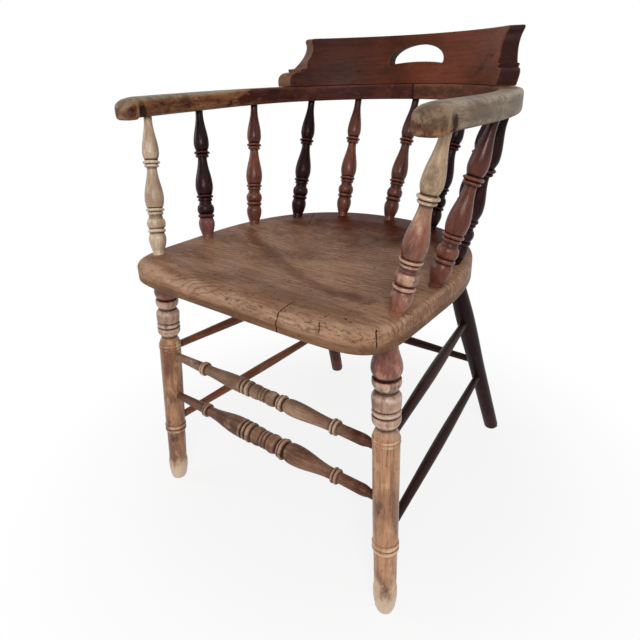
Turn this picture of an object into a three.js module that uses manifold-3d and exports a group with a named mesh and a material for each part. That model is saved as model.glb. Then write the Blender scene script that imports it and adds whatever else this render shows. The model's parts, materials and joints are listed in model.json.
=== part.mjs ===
// A smoker's bow captain's chair: a saddled plank seat on four splayed legs, seven stretchers, eleven
// turned spindles, an arm bow sawn in two halves, and a crest screwed down over their joint.
// Millimetres, +Z up, the sitter faces -Y. The origin is on the floor, in the middle of the chair's box.
import * as THREE from "three";
import { mergeVertices } from "three/addons/utils/BufferGeometryUtils.js";
import Module from "manifold-3d";

const wasm = await Module();
wasm.setup();

// Clearances and cutting
const glueGap = 0.3;
const mergeWithin = 1e-4;
const cutOverrun = 12;
const socketSides = 12;

// Seat
const seatHeight = 460;
const seatThickness = 36;
const seatHalfWidth = 238;
const seatFrontReach = 183;
const seatBackReach = 274;
const seatWidestY = -30;
const seatFrontPower = 7.5;
const seatBackPower = 2.3;
const seatUnderBevel = 7;
const seatUnderBevelRun = 10;
const seatRimRound = 4;
const seatFrontRound = 12;
const seatDish = 11;
const seatFrontDip = 7;
const seatFlatRimShare = 0.82;

// Arm bow, an ellipse at the back that runs on as two arms
const bowSideOverhang = 26;
const bowBackOverhang = 70;
const bowHalfWidth = seatHalfWidth + bowSideOverhang;
const bowBackReach = seatWidestY + seatBackReach + bowBackOverhang;
const bowUnderside = 674;
const bowThickness = 28;
const bowBackWidth = 30;
const bowBackPower = 9;
const armWidth = 39;
const armThickness = 31.5;
const armPower = 3.4;
const armBlendShares = [0.55, 1.1];
const armLength = 158;
const armTipInset = 10;
const gripWidth = 43;
const gripLength = 29;
const gripShoulder = 4;
const gripDrop = 2.5;
const gripNoseLength = 36;
const gripTopDropShare = 0.6;
const gripUnderRiseShare = 0.2;
const scoopRadius = 8;
const scoopFromTip = 33;

// Crest
const crestHeight = 84;
const crestFootDepth = 28;
const crestTopDepth = 17;
const crestLean = 32;
const crestStraightLeanShare = 0.35;
const crestEndSetback = 132;
const crestEndY = bowBackReach - crestEndSetback;
const crestLobe = [24, 25];
const crestFillet = [6, 5];
const crestCove = [32, 22];
const crestTopRound = 10;
const crestReachDegrees = 72;
const handHoleWidth = 110;
const handHoleHeight = 28;
const handHoleRise = 38;
const handHoleTip = 6;

// Crest screws
const screwLength = 46;
const screwShankRadius = 2.5;
const screwHeadRadius = 5;
const screwHeadDepth = 4;
const screwSink = 5;
const screwDegrees = [12, 36];

// Turned front legs. The insets place their tops inside the seat's sides and front, and the splays take
// their feet outwards from there.
const frontLegSideInset = 23;
const frontLegFrontInset = 64;
const frontLegSideSplay = 20;
const frontLegFrontSplay = 24;
const frontLegRadius = 19.7;
const frontLegTenonRadius = 13.8;
const frontFootRadius = 11.5;
const frontFootTrim = 3;

// Plain back legs, placed and splayed in the same way from the seat's sides and back
const backLegSideInset = 87;
const backLegBackInset = 70;
const backLegSideSplay = 56;
const backLegBackSplay = 152;
const backLegRadius = 16.8;
const backFootRadius = 12;
const backFootTrim = 6;
const backLegTenonRadius = 13;
const legTenonDepth = 17;

// Stretchers
const upperFrontHeight = 271;
const lowerFrontHeight = 189;
const upperSideFrontHeight = 282;
const upperSideBackHeight = 286;
const lowerSideFrontHeight = 131;
const lowerSideBackHeight = 151;
const backStretcherHeight = 187;
const stretcherEndRadius = 6.5;
const turnedStretcherArmRadius = 8.6;
const turnedStretcherRingRadius = 12;
const upperFrontRadius = 13;
const lowerFrontRadius = 17;
const plainStretcherRadius = 9;
const stretcherFromAxis = 5;

// Spindles. The back ones stand on a line inside the seat's rim and go from the centre one outwards, each
// at a share of the quarter turn from the middle of the back to the side. Two arm spindles follow them on
// each side, each at a share of the way from the seat's widest line to its front. Bow shares count along
// the bow, 1 at its widest and 2 at the tip of the arm. The holes were bored by eye, so the arms differ.
const spindleRadius = 15.3;
const spindleFootRadius = 9.5;
const spindleNeckRadius = 6.5;
const spindleSeatTenon = 12;
const spindleBowTenon = 15;
const backSpindleInset = 24;
const backSpindleTurnShares = [0, 0.262, 0.54, 0.8];
const leftBackSpindleBowShares = [0, 0.278, 0.49, 0.744];
const rightBackSpindleBowShares = [0, 0.278, 0.5, 0.865];
const leftArmSpindleInset = 22;
const rightArmSpindleInset = 17;
const leftArmSpindleForwardShares = [0.1, 0.68];
const rightArmSpindleForwardShares = [0.02, 0.59];
const leftArmSpindleBowShares = [0.99, 1.67];
const rightArmSpindleBowShares = [0.97, 1.7];

// Colours of the woods and the screws
const woods = {
  seat: 0x8a664c,
  arm: 0x8c7a5e,
  crest: 0x6b3524,
  frontLeg: 0x7c4a30,
  backLeg: 0x2c1a17,
  paleTurning: 0x9a7a58,
  redTurning: 0x6b3626,
  darkTurning: 0x3a211d,
  redDowel: 0x6d3a2b,
  darkDowel: 0x3b211c,
};
const steel = 0x6a6460;

const up = new THREE.Vector3(0, 1, 0);
const fullTurn = 2 * Math.PI;
const lerp = THREE.MathUtils.lerp;
const bothSides = [
  {
    word: "left",
    side: -1,
    backBowShares: leftBackSpindleBowShares,
    armInset: leftArmSpindleInset,
    armForwardShares: leftArmSpindleForwardShares,
    armBowShares: leftArmSpindleBowShares,
  },
  {
    word: "right",
    side: 1,
    backBowShares: rightBackSpindleBowShares,
    armInset: rightArmSpindleInset,
    armForwardShares: rightArmSpindleForwardShares,
    armBowShares: rightArmSpindleBowShares,
  },
];
const armTipGoing = 2;

// A closed geometry as a solid for joining and cutting.
function solidOf(geometry) {
  const bare = geometry.clone();
  bare.deleteAttribute("normal");
  bare.deleteAttribute("uv");
  const merged = mergeVertices(bare, mergeWithin);
  return new wasm.Manifold(
    new wasm.Mesh({
      numProp: 3,
      vertProperties: new Float32Array(merged.attributes.position.array),
      triVerts: new Uint32Array(merged.index.array),
    }),
  );
}

function geometryOf(solid) {
  const mesh = solid.getMesh();
  const geometry = new THREE.BufferGeometry();
  const places = new Float32Array(mesh.numVert * 3);
  for (let i = 0; i < mesh.numVert; i++) {
    places.set(mesh.vertProperties.subarray(i * mesh.numProp, i * mesh.numProp + 3), i * 3);
  }
  geometry.setAttribute("position", new THREE.BufferAttribute(places, 3));
  geometry.setIndex(new THREE.BufferAttribute(mesh.triVerts, 1));
  return geometry;
}

function cut(geometry, cutters) {
  let solid = solidOf(geometry);
  for (const cutter of cutters) {
    solid = solid.subtract(solidOf(cutter));
  }
  return geometryOf(solid);
}

// Skins a stack of rings, each with as many points as the next, and closes both ends with a fan.
function skin(rings) {
  const sides = rings[0].length;
  const places = [];
  for (const ring of rings) {
    for (const point of ring) {
      places.push(point.x, point.y, point.z);
    }
  }
  const faces = [];
  for (let r = 0; r + 1 < rings.length; r++) {
    for (let i = 0; i < sides; i++) {
      const a = r * sides + i;
      const b = r * sides + ((i + 1) % sides);
      faces.push(a, b, b + sides, a, b + sides, a + sides);
    }
  }
  for (const r of [0, rings.length - 1]) {
    const middle = rings[r].reduce((sum, point) => sum.add(point), new THREE.Vector3()).divideScalar(sides);
    const hub = places.length / 3;
    places.push(middle.x, middle.y, middle.z);
    for (let i = 0; i < sides; i++) {
      const a = r * sides + i;
      const b = r * sides + ((i + 1) % sides);
      faces.push(...(r === 0 ? [hub, b, a] : [hub, a, b]));
    }
  }
  const geometry = new THREE.BufferGeometry();
  geometry.setAttribute("position", new THREE.Float32BufferAttribute(places, 3));
  geometry.setIndex(faces);
  return geometry;
}

// Turned work. A turning is a list of steps up the piece: each gives the height share where it ends, the
// radius share that it reaches and its form. A bead, a thin ring or a cove goes to that radius half way
// and comes back, a sweep or a short swell runs there in an S curve, a round goes there as a quarter of an
// ellipse, flat at its wider end, and a straight goes there directly.
const stepPoints = { straight: 1, swell: 2, sweep: 3, round: 2, bead: 3, ring: 2, cove: 2 };

function easedShare(form, t, widening) {
  if (form === "straight") {
    return t;
  }
  if (form === "round") {
    const quarter = (t * Math.PI) / 2;
    return widening ? Math.sin(quarter) : 1 - Math.cos(quarter);
  }
  return (1 - Math.cos(t * Math.PI)) / 2;
}

function turnedOutline(turning, length, radius, startRadius) {
  const outline = [new THREE.Vector2(startRadius, 0)];
  for (const { to, reach, form } of turning) {
    const from = outline.at(-1).clone();
    const target = typeof reach === "number" ? reach * radius : reach.radius;
    const parts = stepPoints[form];
    for (let i = 1; i <= parts; i++) {
      const t = i / parts;
      const height = lerp(from.y, to * length, t);
      if (form === "bead" || form === "ring" || form === "cove") {
        outline.push(new THREE.Vector2(lerp(from.x, target, Math.sin(t * Math.PI)), height));
      } else {
        outline.push(new THREE.Vector2(lerp(from.x, target, easedShare(form, t, target > from.x)), height));
      }
    }
  }
  return outline;
}

// A lathed solid along a line from one point to another, with a round tenon past each end.
function lathed(outline, startTenon, endTenon, sides) {
  const first = outline[0];
  const last = outline.at(-1);
  const profile = [
    new THREE.Vector2(0, first.y - startTenon),
    new THREE.Vector2(first.x, first.y - startTenon),
    ...outline.slice(startTenon > 0 ? 0 : 1),
    new THREE.Vector2(last.x, last.y + endTenon),
    new THREE.Vector2(0, last.y + endTenon),
  ];
  const kept = profile.filter((point, i) => i === 0 || point.distanceTo(profile[i - 1]) > glueGap / 10);
  return new THREE.LatheGeometry(kept, sides);
}

// Stands a piece made along +Y at the start of a line, pointing along it.
function place(geometry, start, end) {
  const direction = end.clone().sub(start).normalize();
  geometry.applyQuaternion(new THREE.Quaternion().setFromUnitVectors(up, direction));
  return geometry.translate(start.x, start.y, start.z);
}

// A drilled socket round a tenon: its mouth is at the given point, it runs depth along the line, and it
// overruns the surface backwards by the cutting overrun.
function socket(mouth, inward, radius, depth) {
  const drill = (radius + glueGap) / Math.cos(Math.PI / socketSides);
  const geometry = new THREE.CylinderGeometry(drill, drill, depth + glueGap + cutOverrun, socketSides);
  geometry.translate(0, (depth + glueGap - cutOverrun) / 2, 0);
  return place(geometry, mouth, mouth.clone().add(inward));
}

const directionOf = (start, end) => end.clone().sub(start).normalize();
const mirrored = (point, side) => new THREE.Vector3(point[0] * side, point[1], point[2]);
const seatUnderside = seatHeight - seatThickness;
const bowTop = bowUnderside + bowThickness;

// Turnings, read up from the foot, or from the left end of a stretcher
const spindleTurningShares = [
  { to: 0.025, reach: { radius: spindleFootRadius }, form: "straight" },
  { to: 0.11, reach: 0.92, form: "round" },
  { to: 0.15, reach: 0.74, form: "round" },
  { to: 0.182, reach: 0.92, form: "ring" },
  { to: 0.255, reach: 0.97, form: "bead" },
  { to: 0.28, reach: 0.68, form: "straight" },
  { to: 0.305, reach: 0.82, form: "ring" },
  { to: 0.332, reach: 0.95, form: "ring" },
  { to: 0.398, reach: 1, form: "round" },
  { to: 0.622, reach: 0.52, form: "sweep" },
  { to: 0.645, reach: 0.76, form: "ring" },
  { to: 0.673, reach: 0.88, form: "ring" },
  { to: 0.73, reach: 0.87, form: "round" },
  { to: 0.96, reach: { radius: spindleNeckRadius }, form: "sweep" },
  { to: 1, reach: { radius: spindleNeckRadius }, form: "straight" },
];
const frontLegTurningShares = [
  { to: 0.025, reach: 0.76, form: "straight" },
  { to: 0.07, reach: 0.88, form: "round" },
  { to: 0.095, reach: 0.87, form: "straight" },
  { to: 0.102, reach: 0.82, form: "straight" },
  { to: 0.258, reach: 0.85, form: "straight" },
  { to: 0.275, reach: 0.97, form: "ring" },
  { to: 0.297, reach: 0.97, form: "ring" },
  { to: 0.668, reach: 0.94, form: "straight" },
  { to: 0.692, reach: 0.98, form: "ring" },
  { to: 0.727, reach: 0.68, form: "swell" },
  { to: 0.75, reach: 0.98, form: "round" },
  { to: 0.764, reach: 0.98, form: "straight" },
  { to: 0.769, reach: 0.82, form: "straight" },
  { to: 0.79, reach: 0.98, form: "ring" },
  { to: 0.796, reach: 0.96, form: "straight" },
  { to: 0.826, reach: 1, form: "straight" },
  { to: 0.85, reach: 0.7, form: "round" },
  { to: 0.879, reach: 0.97, form: "round" },
  { to: 0.892, reach: 0.8, form: "straight" },
  { to: 0.922, reach: 1.03, form: "round" },
  { to: 1, reach: { radius: frontLegTenonRadius }, form: "sweep" },
];
const backLegTurningShares = [
  { to: 0.35, reach: 0.86, form: "straight" },
  { to: 0.68, reach: 1, form: "sweep" },
  { to: 0.97, reach: { radius: backLegTenonRadius }, form: "sweep" },
  { to: 1, reach: { radius: backLegTenonRadius }, form: "straight" },
];
const frontStretcherTurningShares = [
  { to: 0.05, reach: { radius: stretcherEndRadius }, form: "straight" },
  { to: 0.185, reach: { radius: turnedStretcherArmRadius }, form: "straight" },
  { to: 0.212, reach: { radius: turnedStretcherRingRadius }, form: "ring" },
  { to: 0.385, reach: 0.94, form: "sweep" },
  { to: 0.408, reach: 0.94, form: "straight" },
  { to: 0.414, reach: 0.68, form: "straight" },
  { to: 0.434, reach: 0.97, form: "ring" },
  { to: 0.455, reach: 0.97, form: "ring" },
  { to: 0.5, reach: 0.88, form: "bead" },
  { to: 0.515, reach: 0.84, form: "ring" },
  { to: 0.53, reach: 0.84, form: "ring" },
  { to: 0.572, reach: 0.88, form: "bead" },
  { to: 0.584, reach: 0.6, form: "cove" },
  { to: 0.61, reach: 1, form: "ring" },
  { to: 0.64, reach: 0.94, form: "swell" },
  { to: 0.808, reach: { radius: turnedStretcherArmRadius }, form: "sweep" },
  { to: 0.838, reach: { radius: turnedStretcherRingRadius }, form: "ring" },
  { to: 0.925, reach: { radius: turnedStretcherArmRadius }, form: "straight" },
  { to: 0.95, reach: { radius: stretcherEndRadius }, form: "straight" },
  { to: 1, reach: { radius: stretcherEndRadius }, form: "straight" },
];
const plainStretcherTurningShares = [
  { to: 0.5, reach: 1, form: "sweep" },
  { to: 1, reach: { radius: stretcherEndRadius }, form: "sweep" },
];

// The seat plank's outline: two half superellipses that meet at its widest line.
function seatEdge(angle, inset) {
  const side = Math.cos(angle);
  const fore = Math.sin(angle);
  const power = fore < 0 ? seatFrontPower : seatBackPower;
  const reach = (fore < 0 ? seatFrontReach : seatBackReach) - inset;
  return new THREE.Vector2(
    Math.sign(side) * (seatHalfWidth - inset) * Math.abs(side) ** (2 / power),
    seatWidestY + Math.sign(fore) * reach * Math.abs(fore) ** (2 / power),
  );
}

// How far the saddled top lies below the rim, at a share of the way from the middle to the edge.
function seatHollow(edge, share) {
  const inside = Math.max(0, 1 - (share / seatFlatRimShare) ** 2.6);
  const forward = Math.max(0, (seatWidestY - edge.y * share) / seatFrontReach);
  const across = Math.cos(Math.min(1, Math.abs(edge.x * share) / seatHalfWidth) * Math.PI) * 0.5 + 0.5;
  return seatDish * inside + seatFrontDip * across * forward ** 2;
}

function seatBlank() {
  const sides = 48;
  const angles = Array.from({ length: sides }, (_, i) => (i / sides) * fullTurn);
  const ring = (inset, height) =>
    angles.map((angle) => {
      const edge = seatEdge(angle, inset(angle));
      return new THREE.Vector3(edge.x, edge.y, height(edge, angle));
    });
  const round = (angle) => lerp(seatRimRound, seatFrontRound, Math.max(0, -Math.sin(angle)) ** 2);
  const drop = (edge) => seatHollow(edge, 1);
  const rings = [
    ring(() => seatUnderBevelRun, () => seatUnderside),
    ring(() => 0, () => seatUnderside + seatUnderBevel),
  ];
  for (const turn of [0, 0.33, 0.66, 1]) {
    const bend = (turn * Math.PI) / 2;
    rings.push(
      ring(
        (angle) => round(angle) * (1 - Math.cos(bend)),
        (edge, angle) => seatHeight - drop(edge) - round(angle) * (1 - Math.sin(bend)),
      ),
    );
  }
  for (const share of [0.88, 0.76, 0.6, 0.4, 0.16]) {
    rings.push(
      angles.map((angle) => {
        const edge = seatEdge(angle, round(angle));
        const y = lerp(seatWidestY, edge.y, share);
        const hollow = seatHollow(new THREE.Vector2(edge.x, y / share), share);
        return new THREE.Vector3(edge.x * share, y, seatHeight - hollow);
      }),
    );
  }
  return skin(rings);
}

// The bow's centre line in plan. Going is 0 at the middle of the back, 1 where the ellipse ends at the
// bow's widest, and 2 at the tip of the arm.
function bowLine(going) {
  if (going <= 1) {
    const angle = (going * Math.PI) / 2;
    return new THREE.Vector2(bowHalfWidth * Math.sin(angle), bowBackReach * Math.cos(angle));
  }
  const along = going - 1;
  return new THREE.Vector2(bowHalfWidth - armTipInset * along ** 2, -armLength * along);
}

// The unit vector across the bow, pointing out of the chair.
function bowOutward(going) {
  const step = 1e-3;
  const ahead = bowLine(going + step).sub(bowLine(going - step)).normalize();
  return going === 0 ? new THREE.Vector2(0, 1) : new THREE.Vector2(-ahead.y, ahead.x);
}

function bowPlace(going, offset, height, side = 1) {
  const outward = bowOutward(going);
  const line = bowLine(going).addScaledVector(outward, offset);
  return new THREE.Vector3(line.x * side, line.y, height);
}

// One half of the bow: from its butt joint at the back, forward to the rounded hand grip.
function armBlank(side) {
  const corners = 14;
  const tipRound = gripWidth / 2;
  const stations = [];
  for (const going of [0, 0.15, 0.3, 0.45, 0.6, 0.74, 0.87, 1, 1.25]) {
    stations.push([going, 1]);
  }
  const gripEnd = armTipGoing - gripLength / armLength;
  const gripStart = gripEnd - gripShoulder / armLength;
  stations.push([gripStart, 1], [gripEnd, 1]);
  for (const turn of [0, 0.25, 0.5, 0.75, 0.92]) {
    const bend = (turn * Math.PI) / 2;
    stations.push([armTipGoing - (tipRound * (1 - Math.sin(bend))) / armLength, Math.cos(bend)]);
  }
  const rings = stations.map(([going, close]) => {
    const toArm = THREE.MathUtils.smoothstep(going, ...armBlendShares);
    const toGrip = THREE.MathUtils.smoothstep(going, gripStart, gripEnd);
    const width = lerp(lerp(bowBackWidth, armWidth, toArm), gripWidth, toGrip) * close;
    const full = lerp(bowThickness, armThickness, toArm) + gripDrop * toGrip;
    const intoNose = Math.max(0, 1 - ((armTipGoing - going) * armLength) / gripNoseLength);
    const top = bowTop - full * gripTopDropShare * (1 - Math.sqrt(1 - intoNose ** 2));
    const height = top - (bowTop - full) - full * gripUnderRiseShare * (1 - close);
    const power = lerp(bowBackPower, armPower, toArm);
    return Array.from({ length: corners }, (_, i) => {
      const angle = ((i + 0.5) / corners) * fullTurn;
      const across = Math.sign(Math.cos(angle)) * Math.abs(Math.cos(angle)) ** (2 / power);
      const rise = Math.sign(Math.sin(angle)) * Math.abs(Math.sin(angle)) ** (2 / power);
      const place = bowPlace(going, (across * width) / 2, top - height / 2 + (rise * height) / 2, side);
      return going === 0 ? place.setX((side * glueGap) / 2) : place;
    });
  });
  return skin(side > 0 ? rings : rings.map((ring) => ring.slice().reverse()));
}

// The carved hollows that part the hand grip from the arm, one on each side of it.
function gripScoops(side) {
  const going = armTipGoing - scoopFromTip / armLength;
  return [-1, 1].map((across) => {
    const scoop = new THREE.SphereGeometry(scoopRadius, 12, 8);
    const middle = bowPlace(going, across * (armWidth / 2 + scoopRadius / 3), bowUnderside, side);
    return scoop.translate(middle.x, middle.y, middle.z);
  });
}

// The crest: a thick board that follows the bow, leans back and thins towards its top.
function crestBlank() {
  const turns = 26;
  const footFront = -bowBackWidth / 2;
  const front = (share) => footFront + crestLean * lerp(share ** 2, share, crestStraightLeanShare);
  const back = (share) => front(share) + lerp(crestFootDepth, crestTopDepth, share);
  const roundShare = crestTopRound / 2 / crestHeight;
  const section = [
    [front(0), 0],
    [back(0), 0],
    [back(0.3), 0.3],
    [back(0.65), 0.65],
    [back(1 - roundShare), 1 - roundShare],
    [lerp(back(1), front(1), 0.2), 1],
    [lerp(back(1), front(1), 0.75), 1],
    [front(1 - roundShare), 1 - roundShare],
    [front(0.75), 0.75],
    [front(0.5), 0.5],
    [front(0.25), 0.25],
  ];
  const base = bowTop + glueGap;
  const rings = [];
  for (let i = 0; i <= turns; i++) {
    const going = lerp(-crestReachDegrees, crestReachDegrees, i / turns) / 90;
    rings.push(
      section.map(([offset, share]) => {
        const point = bowPlace(Math.abs(going), offset, base + share * crestHeight);
        return point.setX(point.x * Math.sign(going));
      }),
    );
  }
  return skin(rings);
}

// The ogee of the crest's ends, seen from the side and sawn straight across.
function crestEndCutter() {
  const base = bowTop;
  const [lobeRun, lobeRise] = crestLobe;
  const [filletRun, filletRise] = crestFillet;
  const [coveRun, coveRise] = crestCove;
  const outline = new THREE.Shape();
  outline.moveTo(crestEndY - 2 * (seatBackReach - crestEndY), base - cutOverrun);
  outline.lineTo(crestEndY, base - cutOverrun);
  outline.lineTo(crestEndY, base);
  outline.quadraticCurveTo(crestEndY, base + lobeRise, crestEndY + lobeRun, base + lobeRise);
  const filletY = crestEndY + lobeRun;
  const filletZ = base + lobeRise + filletRise;
  outline.lineTo(filletY, filletZ);
  outline.lineTo(filletY + filletRun, filletZ);
  const coveY = filletY + filletRun + coveRun;
  outline.quadraticCurveTo(coveY, filletZ, coveY, filletZ + coveRise);
  const top = base + crestHeight + glueGap;
  outline.lineTo(coveY, top - crestTopRound);
  outline.quadraticCurveTo(coveY, top, coveY + crestTopRound, top);
  outline.lineTo(coveY + crestTopRound, top + cutOverrun);
  outline.lineTo(crestEndY - 2 * (seatBackReach - crestEndY), top + cutOverrun);
  const across = 2 * (bowHalfWidth + armWidth);
  const geometry = new THREE.ExtrudeGeometry(outline, {
    depth: across,
    bevelEnabled: false,
    curveSegments: 6,
  });
  geometry.applyMatrix4(
    new THREE.Matrix4().makeBasis(
      new THREE.Vector3(0, 1, 0),
      new THREE.Vector3(0, 0, 1),
      new THREE.Vector3(1, 0, 0),
    ),
  );
  return geometry.translate(-across / 2, 0, 0);
}

// The hand hole: a domed arch over a raised sill, with a rounded tip at each side.
function handHoleCutter() {
  const half = handHoleWidth / 2;
  const sill = bowTop + glueGap + handHoleRise;
  const outline = new THREE.Shape();
  outline.moveTo(-half, sill);
  outline.absarc(-half + handHoleTip, sill, handHoleTip, Math.PI, 1.75 * Math.PI);
  const sillEnd = half - handHoleTip * (1 + Math.SQRT1_2);
  outline.quadraticCurveTo(0, sill + handHoleTip / 3, sillEnd, sill - handHoleTip * Math.SQRT1_2);
  outline.absarc(half - handHoleTip, sill, handHoleTip, 1.25 * Math.PI, fullTurn);
  outline.absellipse(0, sill, half, handHoleHeight, 0, Math.PI);
  const through = 2 * (crestFootDepth + crestLean);
  const geometry = new THREE.ExtrudeGeometry(outline, {
    depth: through,
    bevelEnabled: false,
    curveSegments: 10,
  });
  geometry.rotateX(Math.PI / 2);
  return geometry.translate(0, bowBackReach + through / 2, 0);
}

// Legs. The turning runs from the floor to the seat's underside, and the tenon goes on into the seat.
const frontLegX = seatHalfWidth - frontLegSideInset;
const frontLegY = seatWidestY - seatFrontReach + frontLegFrontInset;
const backLegX = seatHalfWidth - backLegSideInset;
const backLegY = seatWidestY + seatBackReach - backLegBackInset;
const legs = [];
for (const { word, side } of bothSides) {
  legs.push(
    {
      name: `front_${word}_leg`,
      foot: mirrored([frontLegX + frontLegSideSplay, frontLegY - frontLegFrontSplay, 0], side),
      top: mirrored([frontLegX, frontLegY, seatUnderside], side),
      turning: frontLegTurningShares,
      radius: frontLegRadius,
      footRadius: frontFootRadius,
      tenonRadius: frontLegTenonRadius,
      trim: frontFootTrim,
      sides: 12,
      colour: woods.frontLeg,
      side,
    },
    {
      name: `back_${word}_leg`,
      foot: mirrored([backLegX + backLegSideSplay, backLegY + backLegBackSplay, 0], side),
      top: mirrored([backLegX, backLegY, seatUnderside], side),
      turning: backLegTurningShares,
      radius: backLegRadius,
      footRadius: backFootRadius,
      tenonRadius: backLegTenonRadius,
      trim: backFootTrim,
      sides: 10,
      colour: woods.backLeg,
      side,
    },
  );
}
const legNamed = Object.fromEntries(legs.map((leg) => [leg.name, leg]));

const legAxisAt = (leg, height) => leg.foot.clone().lerp(leg.top, height / seatUnderside);

// Stretchers run between two leg axes and stop short of each.
const turnedStretcher = { turning: frontStretcherTurningShares, sides: 9 };
const plainStretcher = { turning: plainStretcherTurningShares, radius: plainStretcherRadius, sides: 8 };
const stretchers = [
  {
    ...turnedStretcher,
    name: "front_upper_stretcher",
    from: "front_left_leg",
    to: "front_right_leg",
    heights: [upperFrontHeight, upperFrontHeight],
    radius: upperFrontRadius,
    colour: woods.paleTurning,
  },
  {
    ...turnedStretcher,
    name: "front_lower_stretcher",
    from: "front_left_leg",
    to: "front_right_leg",
    heights: [lowerFrontHeight, lowerFrontHeight],
    radius: lowerFrontRadius,
    colour: woods.redTurning,
  },
  {
    ...plainStretcher,
    name: "back_stretcher",
    from: "back_left_leg",
    to: "back_right_leg",
    heights: [backStretcherHeight, backStretcherHeight],
    colour: woods.darkDowel,
  },
];
for (const { word, side } of bothSides) {
  const ends = { from: `front_${word}_leg`, to: `back_${word}_leg` };
  const colour = side < 0 ? woods.redDowel : woods.darkDowel;
  const upper = [upperSideFrontHeight, upperSideBackHeight];
  const lower = [lowerSideFrontHeight, lowerSideBackHeight];
  stretchers.push(
    { ...plainStretcher, ...ends, name: `${word}_upper_stretcher`, heights: upper, colour },
    { ...plainStretcher, ...ends, name: `${word}_lower_stretcher`, heights: lower, colour },
  );
}
for (const piece of stretchers) {
  const fromAxis = legAxisAt(legNamed[piece.from], piece.heights[0]);
  const toAxis = legAxisAt(legNamed[piece.to], piece.heights[1]);
  const direction = directionOf(fromAxis, toAxis);
  piece.start = fromAxis.clone().addScaledVector(direction, stretcherFromAxis);
  piece.end = toAxis.clone().addScaledVector(direction, -stretcherFromAxis);
}

// Spindles stand on the seat and lean out to the bow's underside.
const spindles = [];
for (const { word, side, backBowShares, armInset, armForwardShares, armBowShares } of bothSides) {
  for (const [index, turnShare] of backSpindleTurnShares.entries()) {
    const edge = seatEdge(lerp(Math.PI / 2, 0, turnShare), backSpindleInset);
    const bow = bowPlace(backBowShares[index], 0, bowUnderside);
    if (index > 0) {
      const foot = mirrored([edge.x, edge.y, seatHeight], side);
      const top = mirrored(bow.toArray(), side);
      spindles.push({ name: `${word}_back_spindle_${index}`, foot, top, side });
    } else if (side > 0) {
      const foot = new THREE.Vector3(0, edge.y, seatHeight);
      const top = new THREE.Vector3(0, bow.y, bow.z);
      spindles.push({ name: "centre_back_spindle", foot, top, side: 0 });
    }
  }
  for (const [index, forwardShare] of armForwardShares.entries()) {
    const y = seatWidestY - forwardShare * seatFrontReach;
    const foot = mirrored([seatHalfWidth - armInset, y, seatHeight], side);
    const top = mirrored(bowPlace(armBowShares[index], 0, bowUnderside).toArray(), side);
    spindles.push({ name: `${word}_arm_spindle_${index + 1}`, foot, top, side });
  }
}

const spindleColours = {
  centre_back_spindle: woods.redTurning,
  left_back_spindle_1: woods.redTurning,
  right_back_spindle_1: woods.darkTurning,
  left_back_spindle_2: woods.darkTurning,
  right_back_spindle_2: woods.darkTurning,
  left_back_spindle_3: woods.redTurning,
  right_back_spindle_3: woods.darkTurning,
  left_arm_spindle_1: woods.darkTurning,
  right_arm_spindle_1: woods.redTurning,
  left_arm_spindle_2: woods.paleTurning,
  right_arm_spindle_2: woods.redTurning,
};

// Screws that hold the crest down, driven up through the bow from below.
const screws = [];
for (const { word, side } of bothSides) {
  for (const [index, degrees] of screwDegrees.entries()) {
    const head = bowPlace(degrees / 90, 0, bowUnderside + screwSink, side);
    screws.push({ name: `${word}_crest_screw_${index + 1}`, head, side });
  }
}

function screwGeometry(clearance) {
  const headDepth = screwHeadDepth + (clearance > 0 ? screwSink + cutOverrun : 0);
  const tip = screwLength - screwHeadDepth;
  const profile = [
    new THREE.Vector2(0, -headDepth + screwHeadDepth),
    new THREE.Vector2(screwHeadRadius + clearance, -headDepth + screwHeadDepth),
    new THREE.Vector2(screwHeadRadius + clearance, clearance),
    new THREE.Vector2(screwShankRadius + clearance, screwHeadDepth + clearance),
    new THREE.Vector2(screwShankRadius + clearance, tip + clearance),
    new THREE.Vector2(clearance, screwLength + clearance),
    new THREE.Vector2(0, screwLength + clearance),
  ];
  const kept = profile.filter((point, i) => i === 0 || point.distanceTo(profile[i - 1]) > glueGap / 10);
  return new THREE.LatheGeometry(kept, 8).rotateX(Math.PI / 2);
}

function screwAt(screw, clearance) {
  return screwGeometry(clearance).translate(screw.head.x, screw.head.y, screw.head.z);
}

// Finished pieces
const chair = new THREE.Group();
const pieces = new THREE.Group();
chair.add(pieces);

function add(name, geometry, colour, roughness = 0.55, metalness = 0) {
  const material = new THREE.MeshStandardMaterial({ color: colour, roughness, metalness });
  const mesh = new THREE.Mesh(geometry.index ? geometry.toNonIndexed() : geometry, material);
  mesh.geometry.deleteAttribute("normal");
  mesh.geometry.computeVertexNormals();
  mesh.name = name;
  pieces.add(mesh);
}

function seat() {
  const cutters = [];
  for (const leg of legs) {
    cutters.push(socket(leg.top, directionOf(leg.foot, leg.top), leg.tenonRadius, legTenonDepth));
  }
  for (const spindle of spindles) {
    const down = directionOf(spindle.top, spindle.foot);
    cutters.push(socket(spindle.foot, down, spindleFootRadius, spindleSeatTenon));
  }
  add("seat", cut(seatBlank(), cutters), woods.seat, 0.6);
}

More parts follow.
